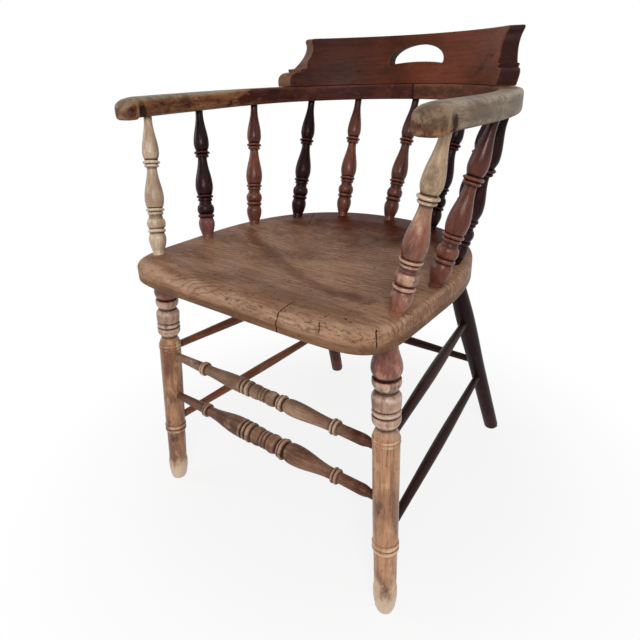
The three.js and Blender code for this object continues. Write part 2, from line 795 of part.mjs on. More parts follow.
function leg(piece) {
  const length = piece.foot.distanceTo(piece.top);
  const outline = turnedOutline(piece.turning, length, piece.radius, piece.footRadius);
  const turned = place(lathed(outline, piece.trim, legTenonDepth, piece.sides), piece.foot, piece.top);
  const cutters = [];
  for (const stretcher of stretchers) {
    const inward = directionOf(stretcher.start, stretcher.end);
    const mouth = piece.radius + stretcherFromAxis;
    if (stretcher.from === piece.name) {
      const outside = stretcher.start.clone().addScaledVector(inward, mouth);
      cutters.push(socket(outside, inward.clone().negate(), stretcherEndRadius, mouth));
    }
    if (stretcher.to === piece.name) {
      const outside = stretcher.end.clone().addScaledVector(inward, -mouth);
      cutters.push(socket(outside, inward, stretcherEndRadius, mouth));
    }
  }
  const floor = new THREE.BoxGeometry(4 * piece.radius, 4 * piece.radius, 2 * cutOverrun);
  floor.translate(piece.foot.x, piece.foot.y, -cutOverrun);
  add(piece.name, cut(turned, [...cutters, floor]), piece.colour);
}

function stretcher(piece) {
  const length = piece.start.distanceTo(piece.end);
  const outline = turnedOutline(piece.turning, length, piece.radius, stretcherEndRadius);
  add(piece.name, place(lathed(outline, 0, 0, piece.sides), piece.start, piece.end), piece.colour);
}

function spindle(piece) {
  const length = piece.foot.distanceTo(piece.top);
  const outline = turnedOutline(spindleTurningShares, length, spindleRadius, spindleFootRadius);
  const turned = lathed(outline, spindleSeatTenon, spindleBowTenon, 8);
  add(piece.name, place(turned, piece.foot, piece.top), spindleColours[piece.name]);
}

function arm(side, word) {
  const cutters = gripScoops(side);
  for (const piece of spindles) {
    if (piece.side === side || piece.side === 0) {
      const upward = directionOf(piece.foot, piece.top);
      cutters.push(socket(piece.top, upward, spindleNeckRadius, spindleBowTenon));
    }
  }
  for (const screw of screws) {
    if (screw.side === side) {
      cutters.push(screwAt(screw, glueGap));
    }
  }
  add(`${word}_arm`, cut(armBlank(side), cutters), woods.arm, 0.6);
}

function crest() {
  const cutters = [crestEndCutter(), handHoleCutter()];
  for (const screw of screws) {
    cutters.push(screwAt(screw, glueGap));
  }
  add("crest", cut(crestBlank(), cutters), woods.crest);
}

seat();
legs.forEach(leg);
stretchers.forEach(stretcher);
spindles.forEach(spindle);
for (const { word, side } of bothSides) {
  arm(side, word);
}
crest();
for (const screw of screws) {
  add(screw.name, screwAt(screw, 0), steel, 0.4, 0.9);
}

// The origin goes to the middle of the chair's box, on the floor.
const box = new THREE.Box3().setFromObject(pieces, true);
pieces.position.y = -(box.min.y + box.max.y) / 2;

export default chair;
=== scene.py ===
# %% [markdown]
# # A smoker's bow captain's chair
#
# An old armchair, all of wood: a saddled plank seat, four splayed legs, seven stretchers, eleven turned spindles,
# an arm bow sawn in two halves, and a crest with a hand hole. The solids that come in are the joiner's model,
# with few faces. This lesson puts a fine surface and an old, worn polish on each of them, piece by piece.

import json
import math

import bmesh
import bpy
import numpy as np
from mathutils import Matrix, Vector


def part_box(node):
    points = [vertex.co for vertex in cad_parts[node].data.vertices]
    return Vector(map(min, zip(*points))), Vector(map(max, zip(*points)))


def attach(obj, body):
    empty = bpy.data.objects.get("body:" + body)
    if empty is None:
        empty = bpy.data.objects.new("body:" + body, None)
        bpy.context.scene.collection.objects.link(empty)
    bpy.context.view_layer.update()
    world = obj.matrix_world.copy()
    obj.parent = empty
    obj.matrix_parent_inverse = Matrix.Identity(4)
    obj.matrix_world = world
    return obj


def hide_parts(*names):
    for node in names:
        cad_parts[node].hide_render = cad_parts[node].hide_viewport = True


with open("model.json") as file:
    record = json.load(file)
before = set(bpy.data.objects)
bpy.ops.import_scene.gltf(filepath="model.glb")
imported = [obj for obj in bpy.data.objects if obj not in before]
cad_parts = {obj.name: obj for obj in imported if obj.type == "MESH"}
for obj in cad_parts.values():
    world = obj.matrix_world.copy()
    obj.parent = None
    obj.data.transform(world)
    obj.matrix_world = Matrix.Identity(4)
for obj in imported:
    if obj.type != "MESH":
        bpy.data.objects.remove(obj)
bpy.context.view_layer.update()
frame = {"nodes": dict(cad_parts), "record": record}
MM = 0.001
SIDES = (("left", -1), ("right", 1))

# %% [markdown]
# ## Where things are
#
# The chair's shapes are drawn round the middle of the arm bow's ellipse. The solids were moved along Y so that
# the chair stands in the middle of its box, so the first thing to find is where that middle went. The seat's front
# edge is 213 mm in front of it, and its box tells the rest.

# %% Find the middle of the bow
SEAT_FRONT_REACH = 213 * MM
bow_middle_y = float(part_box("seat")[0][1]) + SEAT_FRONT_REACH
middle = np.array([0.0, bow_middle_y, 0.0])
print("middle of the bow, y:", round(bow_middle_y, 4))


def unit(vector):
    """The same direction with length 1: the vector over its length."""
    return vector / np.linalg.norm(vector, axis=-1, keepdims=True)


def add_object(name, data, columns=None):
    """A new object in the scene. The columns of its matrix are its X, Y and Z directions and its place, and
    without them it stays at the origin, unturned."""
    made = bpy.data.objects.new(name, data)
    bpy.context.scene.collection.objects.link(made)
    if columns is not None:
        made.matrix_world = Matrix([*np.stack(columns, 1).tolist(), [0, 0, 0, 1]])
    return made


# %% [markdown]
# ## The camera
#
# The photograph was taken from above the right front leg, close to the chair, so the perspective is strong. The
# camera's place and turn were solved from the feet, the seat, the spindles and the arms together. Three unit
# vectors, to the right, down and forward in the picture, make its turn. The chair sits a little low in the
# photograph, which the lens shift gives.

# %% Make the camera
AZIMUTH, ELEVATION, ROLL = np.radians([37.98, 22.62, 1.85])
CAMERA_PLACE = np.array([498.2, -640.4, 737.0]) * MM + middle
PICTURE_PIXELS, FOCAL_PIXELS, SHIFT_PIXELS = 640, 525.1, 35
SENSOR = 36
level = np.cos(ELEVATION)
forward = np.array([-np.sin(AZIMUTH) * level, np.cos(AZIMUTH) * level, -np.sin(ELEVATION)])
level_right = unit(np.cross(forward, [0, 0, 1]))
level_down = np.cross(forward, level_right)
right = np.cos(ROLL) * level_right + np.sin(ROLL) * level_down
down = -np.sin(ROLL) * level_right + np.cos(ROLL) * level_down

camera_data = bpy.data.cameras.new("camera")
camera_data.sensor_width = SENSOR
camera_data.lens = FOCAL_PIXELS / PICTURE_PIXELS * SENSOR
camera_data.shift_y = -SHIFT_PIXELS / PICTURE_PIXELS
camera_data.clip_start = 0.02
bpy.context.scene.camera = add_object("camera", camera_data, [right, -down, -forward, CAMERA_PLACE])
print("lens:", round(camera_data.lens, 2), "mm")

# %% [markdown]
# ## Skins from rings of points
#
# Every piece here is a stack of rings of points: round rings for turned work, rounded oblongs for the arms, the
# plank's outline for the seat. A ring's points join to the next ring's by four-sided faces, and a single point
# closes each end. The mesh also keeps three things for its wood: where each point lies in the board it was cut
# from, how exposed it is, from 1 on an edge that hands rub to -1 in a groove where dirt stays, and a mark, kept.
# The exposure also carries painted light: a painted highlight on the arms' grip ridges, and painted shade in
# the arms' hollows and inside the crest's hand hole. On the arms the mark says how much of the old finish is left,
# and on the crest it marks the sawn ends.

# %% Make a closed mesh from rings
SHARP = math.radians(38)


def finish_mesh(name, points, faces, boards, exposure, kept):
    """A mesh object at the origin with smooth faces, sharp only where they meet at a real corner."""
    mesh = bpy.data.meshes.new(name)
    mesh.from_pydata(points.tolist(), [], faces)
    mesh.update()
    for key, kind, field, values in (
        ("board", "FLOAT_VECTOR", "vector", boards),
        ("exposed", "FLOAT", "value", exposure),
        ("kept", "FLOAT", "value", kept),
    ):
        mesh.attributes.new(key, kind, "POINT").data.foreach_set(field, values.astype(np.float32).ravel())
    mesh.shade_smooth()
    mesh.set_sharp_from_angle(angle=SHARP)
    return add_object(name, mesh)


def skin(name, rings, boards, exposure, kept=None):
    """A closed surface from an array of rings (rings, points, xyz). Each quad joins two neighbours of one ring to
    the same two of the next, and a fan to the ring's mean point closes both ends."""
    count, sides = rings.shape[:2]
    kept = np.zeros((count, sides)) if kept is None else kept
    here = np.arange(sides)
    beside = (here + 1) % sides
    start = np.arange(count - 1)[:, None] * sides
    first, last = count * sides, (count - 1) * sides
    quads = np.stack([start + here, start + beside, start + sides + beside, start + sides + here], -1)
    foot_fan = np.stack([np.full(sides, first), beside, here], -1)
    top_fan = np.stack([np.full(sides, first + 1), last + here, last + beside], -1)
    faces = quads.reshape(-1, 4).tolist() + foot_fan.tolist() + top_fan.tolist()
    points, boards, exposure, kept = (
        np.concatenate([values.reshape(first, -1), values[[0, -1]].reshape(2, sides, -1).mean(1)])
        for values in (rings, boards, exposure, kept)
    )
    return finish_mesh(name, points, faces, boards, exposure, kept)


# %% [markdown]
# ## Turned work
#
# A lathe makes a leg or a spindle from a short list of moves: run straight, swell, sweep down to a neck, roll a
# bead, cut a thin ring or a cove. Here each move gives the share of the length where it ends, the share of the
# radius that it reaches, and its form. The profile that comes out is turned round the piece's own line.
# The exposure comes from the profile itself: a point that stands out past its neighbours is rubbed, and one that
# lies behind them is dirty.

# %% Work out a turned profile
STEP_POINTS = {"straight": 8, "swell": 12, "sweep": 40, "round": 14, "bead": 16, "ring": 10, "cove": 10}
RUB_WINDOW = 6 * MM
RUB_STAND = 1.7 * MM
TURNED_SIDES = 48
# How far apart in the wood two pieces lie, in metres, so that no two have the same grain.
BOARD_STEP = np.array([0.37, 0.11, 0.7])


def profile(moves, length, radius, start_radius):
    """Heights and radii along a turned piece. A cove leaves the last radius for its own and comes back to it as
    half a sine wave, and a bead or ring as the square root of one. A swell or sweep goes to its radius along half a
    cosine wave, and a round as a quarter of an ellipse. A reach above 2 is a radius in millimetres."""
    heights, radii = [np.array([0.0])], [np.array([start_radius])]
    for to, reach, form in moves:
        low, near = heights[-1][-1], radii[-1][-1]
        target = reach * MM if reach > 2 else reach * radius
        share = np.arange(1, STEP_POINTS[form] + 1) / STEP_POINTS[form]
        wave = np.clip(np.sin(share * np.pi), 0, 1)
        eased = (1 - np.cos(share * np.pi)) / 2
        quarter = np.sin(share * np.pi / 2) if target > near else 1 - np.cos(share * np.pi / 2)
        bend = {"straight": share, "swell": eased, "sweep": eased, "round": quarter, "bead": np.sqrt(wave),
                "ring": np.sqrt(wave), "cove": wave}[form]
        heights.append(low + (to * length - low) * share)
        radii.append(near + (target - near) * bend)
    return np.concatenate(heights), np.concatenate(radii)


def rubbed(heights, radii):
    """How far each point of a profile stands out past its surroundings, from -1 to 1: the radius less its mean
    over a window along the piece, as a share of what counts as fully rubbed."""
    even = np.linspace(heights[0], heights[-1], 800)
    level = np.interp(even, heights, radii)
    window = max(3, int(RUB_WINDOW / (even[1] - even[0])))
    padded = np.pad(level, window, mode="edge")
    mean = np.convolve(padded, np.ones(2 * window + 1) / (2 * window + 1), mode="valid")
    return np.clip(np.interp(heights, even, level - mean) / RUB_STAND, -1, 1)


def turned(name, line, moves, radius, start_radius, seed, sides=TURNED_SIDES, sunk=None, worn_foot=0):
    """A turned piece that stands for a node: each point of its profile becomes a ring of that radius at that
    height along the line. Its ends run on into what holds them by sunk, and its foot is rubbed up to worn_foot."""
    foot, top = line
    length = np.linalg.norm(top - foot)
    heights, radii = profile(moves, length, radius, start_radius)
    if sunk:
        heights = np.concatenate([[-sunk[0]], heights, [length + sunk[1]]])
        radii = np.pad(radii, 1, mode="edge")
    axis = unit(top - foot)
    across = unit(np.cross(axis, [0.0, 1.0, 0.0]))
    ahead = np.cross(axis, across)
    angle = np.arange(sides)[:, None] / sides * 2 * np.pi
    cosine, sine = np.cos(angle), np.sin(angle)
    up, out = heights[:, None, None], radii[:, None, None]
    rings = foot + up * axis + out * (cosine * across + sine * ahead)
    boards = out * np.hstack([cosine, sine, 0 * sine]) + up * [0, 0, 1] + seed * BOARD_STEP
    exposure = rubbed(heights, radii)
    if worn_foot:
        exposure = np.maximum(exposure, 1.2 * (1 - heights / worn_foot))
    piece = skin(name + "_turned", rings, boards, np.broadcast_to(exposure[:, None], rings.shape[:2]))
    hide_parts(name)
    return piece


# %% [markdown]
# ## The legs
#
# The front legs are turned from end to end. From the floor up: a rounded foot, a foot bulge, a plain taper, a pair
# of thin beads, a long cylinder, a flange, three beads with thin rings between them, and a bulb that necks into
# the seat. The back legs are plain tapers. All four splay outwards, the back ones most. A leg is given by its foot
# and its top in plan, in millimetres on the right of the chair, and by its full radius and its foot's.

# %% Turn the legs
SEAT_HEIGHT = 460 * MM
SEAT_THICKNESS = 36 * MM
SEAT_UNDERSIDE = SEAT_HEIGHT - SEAT_THICKNESS
LEG_SUNK = (6 * MM, 4 * MM)
LEG_SIDES = 72
WORN_FOOT = 75 * MM

front_leg_moves = [
    (0.006, 0.66, "round"), (0.025, 0.77, "round"), (0.07, 0.88, "round"), (0.096, 0.87, "straight"),
    (0.1, 0.82, "round"), (0.258, 0.85, "straight"), (0.275, 0.97, "ring"), (0.297, 0.97, "ring"),
    (0.3, 0.9, "round"), (0.664, 0.94, "straight"), (0.668, 0.91, "round"), (0.681, 0.98, "ring"),
    (0.692, 0.97, "ring"), (0.727, 0.68, "swell"), (0.75, 0.97, "round"), (0.764, 0.98, "straight"),
    (0.769, 0.82, "round"), (0.79, 0.98, "ring"), (0.796, 0.96, "round"), (0.826, 1.0, "straight"),
    (0.85, 0.7, "round"), (0.879, 0.97, "round"), (0.888, 0.96, "straight"), (0.892, 0.78, "round"),
    (0.922, 1.03, "round"), (1.0, 13.8, "sweep"),
]
back_leg_moves = [
    (0.012, 0.82, "round"), (0.35, 0.86, "straight"), (0.68, 1.0, "sweep"), (0.97, 13, "sweep"),
    (1.0, 13, "straight"),
]
LEG_ROWS = {
    "front": ((235, -173), (215, -149), front_leg_moves, 19.7, 11.5),
    "back": ((207, 326), (151, 174), back_leg_moves, 16.8, 12),
}
leg_lines, legs = {}, {}
for word, side in SIDES:
    for row, (foot, top, moves, radius, foot_radius) in LEG_ROWS.items():
        name = f"{row}_{word}_leg"
        leg_lines[name] = line = (
            np.array([foot[0] * side * MM, foot[1] * MM, 0]) + middle,
            np.array([top[0] * side * MM, top[1] * MM, SEAT_UNDERSIDE]) + middle,
        )
        legs[name] = turned(name, line, moves, radius * MM, foot_radius * MM, len(leg_lines), LEG_SIDES, LEG_SUNK,
                            WORN_FOOT)
        # The foot's end is sawn level with the floor: every point below it is lifted to it.
        for vertex in legs[name].data.vertices:
            vertex.co.z = max(vertex.co.z, 0)
        legs[name].data.update()
print("legs:", len(legs))

# %% [markdown]
# ## The stretchers
#
# Two turned stretchers join the front legs: a thin ring near each end, a long vase on each side, and in the middle
# a nest of discs, beads and thin rings that isn't quite in the middle. The side and back stretchers are plain and
# a little thicker half way. A stretcher is given by its two legs, its heights on them and its radius.

# %% Turn the stretchers
FIRST_STRETCHER_SEED = 11
STRETCHER_SHORT = 5 * MM
END_RADIUS = 6.5 * MM
turned_moves = [
    (0.045, 6.5, "straight"), (0.185, 8.6, "straight"), (0.19, 8.0, "round"), (0.2, 11.6, "ring"),
    (0.212, 12.0, "ring"), (0.216, 8.6, "straight"), (0.385, 0.94, "sweep"), (0.405, 0.96, "straight"),
    (0.409, 0.84, "round"), (0.413, 0.68, "round"), (0.43, 0.96, "ring"), (0.455, 0.98, "ring"),
    (0.5, 0.9, "bead"), (0.514, 0.84, "ring"), (0.53, 0.84, "ring"), (0.572, 0.9, "bead"),
    (0.584, 0.6, "cove"), (0.594, 0.92, "ring"), (0.61, 1.0, "ring"), (0.64, 0.94, "round"),
    (0.65, 0.95, "straight"), (0.808, 8.6, "sweep"), (0.812, 8.2, "round"), (0.824, 12.0, "ring"),
    (0.838, 11.6, "ring"), (0.925, 8.6, "straight"), (0.952, 6.5, "round"), (1.0, 6.5, "straight"),
]
plain_moves = [(0.5, 1.0, "sweep"), (1.0, 6.5, "sweep")]
stretcher_table = {
    "front_upper_stretcher": ("front_left_leg", "front_right_leg", 271, 271, turned_moves, 13),
    "front_lower_stretcher": ("front_left_leg", "front_right_leg", 189, 189, turned_moves, 17),
    "back_stretcher": ("back_left_leg", "back_right_leg", 187, 187, plain_moves, 9),
}
for word, side in SIDES:
    for row, low, high in (("upper", 282, 286), ("lower", 131, 151)):
        ends = (f"front_{word}_leg", f"back_{word}_leg")
        stretcher_table[f"{word}_{row}_stretcher"] = (*ends, low, high, plain_moves, 9)


def on_leg(name, height):
    """The point of a leg's axis at a height above the floor: that share of the way from its foot to its top."""
    foot, top = leg_lines[name]
    return foot + (top - foot) * height / SEAT_UNDERSIDE


stretchers = {}
for name, (first, last, low, high, moves, radius) in stretcher_table.items():
    start, end = on_leg(first, low * MM), on_leg(last, high * MM)
    short = unit(end - start) * STRETCHER_SHORT
    seed = FIRST_STRETCHER_SEED + len(stretchers)
    stretchers[name] = turned(name, (start + short, end - short), moves, radius * MM, END_RADIUS, seed)
print("stretchers:", len(stretchers))

# %% [markdown]
# ## The arm bow
#
# The bow is sawn from thick board in two halves that butt in the middle of the back. In plan it is half an
# ellipse at the back and runs on forwards as two nearly straight arms.

# %% Draw the bow's line
BOW_HALF_WIDTH = 264 * MM
BOW_BACK_REACH = 314 * MM
BOW_UNDERSIDE = 674 * MM
BOW_THICKNESS = 28 * MM
BOW_TOP = BOW_UNDERSIDE + BOW_THICKNESS
BOW_BACK_WIDTH = 30 * MM
ARM_LENGTH = 158 * MM
ARM_TIP_INSET = 10 * MM


def bow_line(going):
    """The bow's middle line in plan. Going is 0 at the middle of the back, 1 at the widest, 2 at an arm's tip: a
    quarter of an ellipse, then a parabola that draws in slightly."""
    angle = np.minimum(going, 1) * np.pi / 2
    along_arm = np.maximum(going - 1, 0)
    x = BOW_HALF_WIDTH * np.sin(angle) - ARM_TIP_INSET * along_arm ** 2
    y = BOW_BACK_REACH * np.cos(angle) - ARM_LENGTH * along_arm
    return np.stack([x, y], -1)


def bow_outward(going):
    """The unit vector across the bow, out of the chair: the line's direction turned a quarter."""
    ahead = unit(bow_line(going + 1e-4) - bow_line(np.maximum(going - 1e-4, 0)))
    return np.stack([-ahead[..., 1], ahead[..., 0]], -1)


def bow_point(going, offset, height, side=1):
    """A point at an offset across the bow and a height above the floor."""
    plan = bow_line(going) + bow_outward(going) * np.asarray(offset)[..., None]
    return np.stack([plan[..., 0] * side, plan[..., 1], np.broadcast_to(height, plan.shape[:-1])], -1) + middle


def smooth(value, low, high):
    """A smooth step from 0 to 1 between two limits."""
    share = np.clip((value - low) / (high - low), 0, 1)
    return share * share * (3 - 2 * share)


def between(low, high, share):
    """The value at a share of the way from low to high."""
    return low + (high - low) * share


def squared(value, squareness):
    """A superellipse's sine or cosine: its size to the power of 2 over the squareness, which is 2 for a circle."""
    return np.sign(value) * np.abs(value) ** (2 / squareness)


# %% [markdown]
# ## The two halves of the bow
#
# The bow's section is a crisp oblong at the back, and gets rounder, wider and thicker along the arms. Each arm
# ends in a rounded paddle for the hand, with a hollow carved behind it on both sides. Lofting rings along the line
# keeps one smooth surface all the way.

# %% Loft the two halves of the bow
ARM_WIDTH = 39 * MM
ARM_THICKNESS = 31.5 * MM
ARM_SIDES = 64
FINE_LENGTH = 58 * MM
BACK_SQUARENESS, ARM_SQUARENESS, GRIP_SQUARER = 9, 3.2, 0.6
ARM_BEGINS, ARM_FULL = 0.55, 1.1
GRIP_WIDTH = 41 * MM
GRIP_LENGTH = 19 * MM
GRIP_SHOULDER = 4 * MM
GRIP_DROP = 2.5 * MM
GRIP_NOSE_LENGTH = 36 * MM
GRIP_TOP_DROP = 0.5
GRIP_UNDER_RISE = 0.1
GRIP_BLUNTNESS = 3.0
HOLLOW_DEPTH = 6 * MM
HOLLOW_REACH = 11 * MM
HOLLOW_RIM = 6 * MM
HOLLOW_SLANT = 5 * MM
BUTT_JOINT = 0.15 * MM
GRAIN_LENGTH = 0.42
ARM_BOARD_STEP = np.array([0.41, 0.13, 0.9])


def bump_at(value, width):
    """A bell curve: e to the power of minus the square of the value over its width."""
    return np.exp(-((value / width) ** 2))


def arm(name, side, seed):
    """One half of the bow: at each station along the line, a superellipse whose width, height and squareness
    change on the way. At the tip it closes as a blunt superellipse in plan, and its top drops as a quarter ellipse.
    Just behind the grip both sides sink into a hollow that comes up again over a short slanting rim."""
    tip_round = GRIP_WIDTH / 2 / ARM_LENGTH
    back = np.concatenate([[0, 0.0035, 0.006], np.linspace(0, 1, 70)[1:]])
    front = np.linspace(1, 2 - FINE_LENGTH / ARM_LENGTH, 40)[1:]
    behind_grip = np.linspace(front[-1], 2 - tip_round, 74)[1:]
    reach = np.sin(np.linspace(0, 0.99, 34)[1:] * np.pi / 2)
    tip = 2 - tip_round * (1 - reach)
    going = np.concatenate([back, front, behind_grip, tip])[:, None]
    close = np.ones_like(going)
    close[-len(tip):, 0] = (1 - reach ** GRIP_BLUNTNESS) ** (1 / GRIP_BLUNTNESS)
    from_tip = (2 - going) * ARM_LENGTH
    to_arm = smooth(going, ARM_BEGINS, ARM_FULL)
    to_grip = 1 - smooth(from_tip, GRIP_LENGTH, GRIP_LENGTH + GRIP_SHOULDER)
    width = between(between(BOW_BACK_WIDTH, ARM_WIDTH, to_arm), GRIP_WIDTH, to_grip) * close
    full = between(BOW_THICKNESS, ARM_THICKNESS, to_arm) + GRIP_DROP * to_grip
    into_nose = np.maximum(0, 1 - from_tip / GRIP_NOSE_LENGTH)
    top = BOW_TOP - full * GRIP_TOP_DROP * (1 - np.sqrt(1 - into_nose ** 2))
    bottom = BOW_TOP - full + full * GRIP_UNDER_RISE * (1 - close)
    squareness = between(BACK_SQUARENESS, ARM_SQUARENESS, to_arm) + GRIP_SQUARER * to_grip
    angle = (np.arange(ARM_SIDES) + 0.5) / ARM_SIDES * 2 * np.pi
    across, rise = squared(np.cos(angle), squareness), squared(np.sin(angle), squareness)
    sideways = np.abs(across)
    behind = from_tip - GRIP_LENGTH
    past_rim = behind - HOLLOW_REACH + HOLLOW_SLANT * rise
    scoop = smooth(behind, 0, HOLLOW_REACH) * (1 - smooth(past_rim, 0, HOLLOW_RIM))
    low = smooth(-rise, -0.6, 0.4)
    offset = across * width / 2 - np.sign(across) * HOLLOW_DEPTH * scoop * low * sideways ** 2
    level = (top + bottom) / 2 + rise * (top - bottom) / 2
    everywhere = np.broadcast_to(going, offset.shape)
    rings = bow_point(everywhere, offset, level, side)
    rings[0, :, 0] = side * BUTT_JOINT
    boards = np.stack([offset, level - BOW_UNDERSIDE, everywhere * GRAIN_LENGTH], -1) + seed * ARM_BOARD_STEP
    # Edges are rubbed. The grip's ridge is rubbed and also painted pale as a highlight. The hollow and its rim get
    # painted shade, darker on the arm's inner side, and the butt joint is dirty.
    painted_hollow_shade = 1.7 * bump_at(past_rim - HOLLOW_RIM / 2, 1.3 * MM) + (0.35 + 0.9 * (across < 0)) * scoop
    exposure = (sideways * np.abs(rise)) ** 2 + 0.15 * to_grip + 0.8 * bump_at(behind, 3.5 * MM) * sideways
    exposure = np.clip(exposure - painted_hollow_shade * low * sideways - 3 * (going < 0.004), -1, 1)
    # The finish is kept round the back, inside the arms, underneath, and low on the grip.
    worn_from = 0.64 - 0.17 * across
    kept = np.maximum.reduce([
        1 - smooth(going, worn_from - 0.1, worn_from + 0.14),
        0.5 * smooth(-across - 0.4 * np.maximum(rise, 0), 0.35, 0.9),
        0.75 * smooth(-rise, 0.55, 1),
        0.6 * to_grip * smooth(-rise, -0.4, 0.8),
    ])
    values = (rings, boards, exposure, kept)
    piece = skin(name + "_carved", *(values if side > 0 else [value[:, ::-1] for value in values]))
    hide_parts(name)
    return piece


arms = {"left_arm": arm("left_arm", -1, 31), "right_arm": arm("right_arm", 1, 32)}
print("arms:", len(arms))

# %% [markdown]
# ## The spindles
#
# All eleven have one pattern: a full foot, a thin ring, a round bead, a pair of rings, a vase that sweeps up to a
# waist, a second pair of rings, and a smaller vase that runs up into the bow. They stand on a line inside the
# seat's rim, and lean outwards to the middle of the bow. Their holes were bored by eye, so the right arm's are a
# little out of line with the left arm's. Each pair of shares is a spindle's place along the seat and the bow.

# %% Turn the spindles
SEAT_HALF_WIDTH = 238 * MM
SEAT_BACK_REACH = 274 * MM
SEAT_WIDEST_Y = -30 * MM
SEAT_FRONT_DEPTH = SEAT_FRONT_REACH + SEAT_WIDEST_Y
SEAT_FRONT_SQUARENESS, SEAT_BACK_SQUARENESS = 7.5, 2.3
SPINDLE_RADIUS, SPINDLE_FOOT_RADIUS = 15.3 * MM, 9.5 * MM
SPINDLE_INSET = 24 * MM
SPINDLE_SUNK = (8 * MM, 6 * MM)
FIRST_SPINDLE_SEED = 41


def seat_edge(angle, inset):
    """The plank's outline in plan: two half superellipses that meet at its widest line, drawn in by an inset."""
    sine = np.sin(angle)
    squareness = np.where(sine < 0, SEAT_FRONT_SQUARENESS, SEAT_BACK_SQUARENESS)
    reach = np.where(sine < 0, SEAT_FRONT_DEPTH, SEAT_BACK_REACH) - inset
    x = (SEAT_HALF_WIDTH - inset) * squared(np.cos(angle), squareness)
    return np.stack([x, SEAT_WIDEST_Y + reach * squared(sine, squareness)], -1)


spindle_moves = [
    (0.022, 9.5, "straight"), (0.11, 0.92, "round"), (0.145, 0.8, "round"), (0.152, 0.74, "straight"),
    (0.182, 0.93, "ring"), (0.255, 0.97, "bead"), (0.28, 0.68, "swell"), (0.305, 0.83, "ring"),
    (0.332, 0.96, "ring"), (0.336, 0.84, "round"), (0.398, 1.0, "round"), (0.622, 0.52, "sweep"),
    (0.645, 0.77, "ring"), (0.673, 0.9, "ring"), (0.677, 0.68, "round"), (0.73, 0.87, "round"),
    (0.96, 6.5, "sweep"), (1.0, 6.5, "straight"),
]
BACK_SHARES = {
    -1: [(0, 0), (0.262, 0.278), (0.54, 0.49), (0.8, 0.744)],
    1: [(0, 0), (0.262, 0.278), (0.54, 0.5), (0.8, 0.865)],
}
ARM_SHARES = {-1: [(0.1, 0.99), (0.68, 1.67)], 1: [(0.02, 0.97), (0.59, 1.7)]}
ARM_INSETS = {-1: 22 * MM, 1: 17 * MM}
spindle_lines = {}


def spindle_line(x, y, bow_share, side):
    """From a place on the seat up to the middle of the bow's underside, on one side of the chair or in its middle."""
    top = bow_point(np.array(float(bow_share)), np.array(0.0), BOW_UNDERSIDE) * [side, 1, 1]
    return np.array([x * side, y, SEAT_HEIGHT]) + middle, top


for word, side in SIDES:
    for index, (turn_share, bow_share) in enumerate(BACK_SHARES[side]):
        name = f"{word}_back_spindle_{index}" if index else "centre_back_spindle"
        edge = seat_edge(np.array(np.pi / 2 * (1 - turn_share)), SPINDLE_INSET)
        spindle_lines[name] = spindle_line(*edge, bow_share, side if index else 0)
    for index, (forward_share, bow_share) in enumerate(ARM_SHARES[side], 1):
        x, y = SEAT_HALF_WIDTH - ARM_INSETS[side], SEAT_WIDEST_Y - forward_share * SEAT_FRONT_DEPTH
        spindle_lines[f"{word}_arm_spindle_{index}"] = spindle_line(x, y, bow_share, side)
spindles = {
    name: turned(name, line, spindle_moves, SPINDLE_RADIUS, SPINDLE_FOOT_RADIUS, seed, sunk=SPINDLE_SUNK)
    for seed, (name, line) in enumerate(spindle_lines.items(), FIRST_SPINDLE_SEED)
}
print("spindles:", len(spindles))

# %% [markdown]
# ## The seat
#
# One thick plank, cut to a D with a nearly straight front, bevelled under its edge, rounded over at the rim and
# rolled over more at the front. The top is saddled: it dips towards the middle and slopes down to the front. The
# surface is a set of copies of the outline, from the middle of the underside out to the edge and back in over the
# top.

# %% Carve the seat
SEAT_DISH = 11 * MM
SEAT_FRONT_DIP = 7 * MM
SEAT_FLAT_RIM = 0.82
SEAT_SIDES = 320
BEVEL_IN, BEVEL_UP = 10 * MM, 7 * MM
ROLL_DOWN, FRONT_ROLL_DOWN = 5 * MM, 15 * MM
ROLL_IN, FRONT_ROLL_IN = 9 * MM, 26 * MM


def hollow(x, y, share):
    """How far the top lies below the rim: a dish that dies out at the flat rim, and a dip towards the front."""
    inside = np.maximum(0, 1 - (share / SEAT_FLAT_RIM) ** 2.6)
    ahead = np.maximum(0, (SEAT_WIDEST_Y - y) / SEAT_FRONT_DEPTH)
    across = np.cos(np.minimum(1, np.abs(x) / SEAT_HALF_WIDTH) * np.pi) * 0.5 + 0.5
    return SEAT_DISH * inside + SEAT_FRONT_DIP * across * ahead ** 2


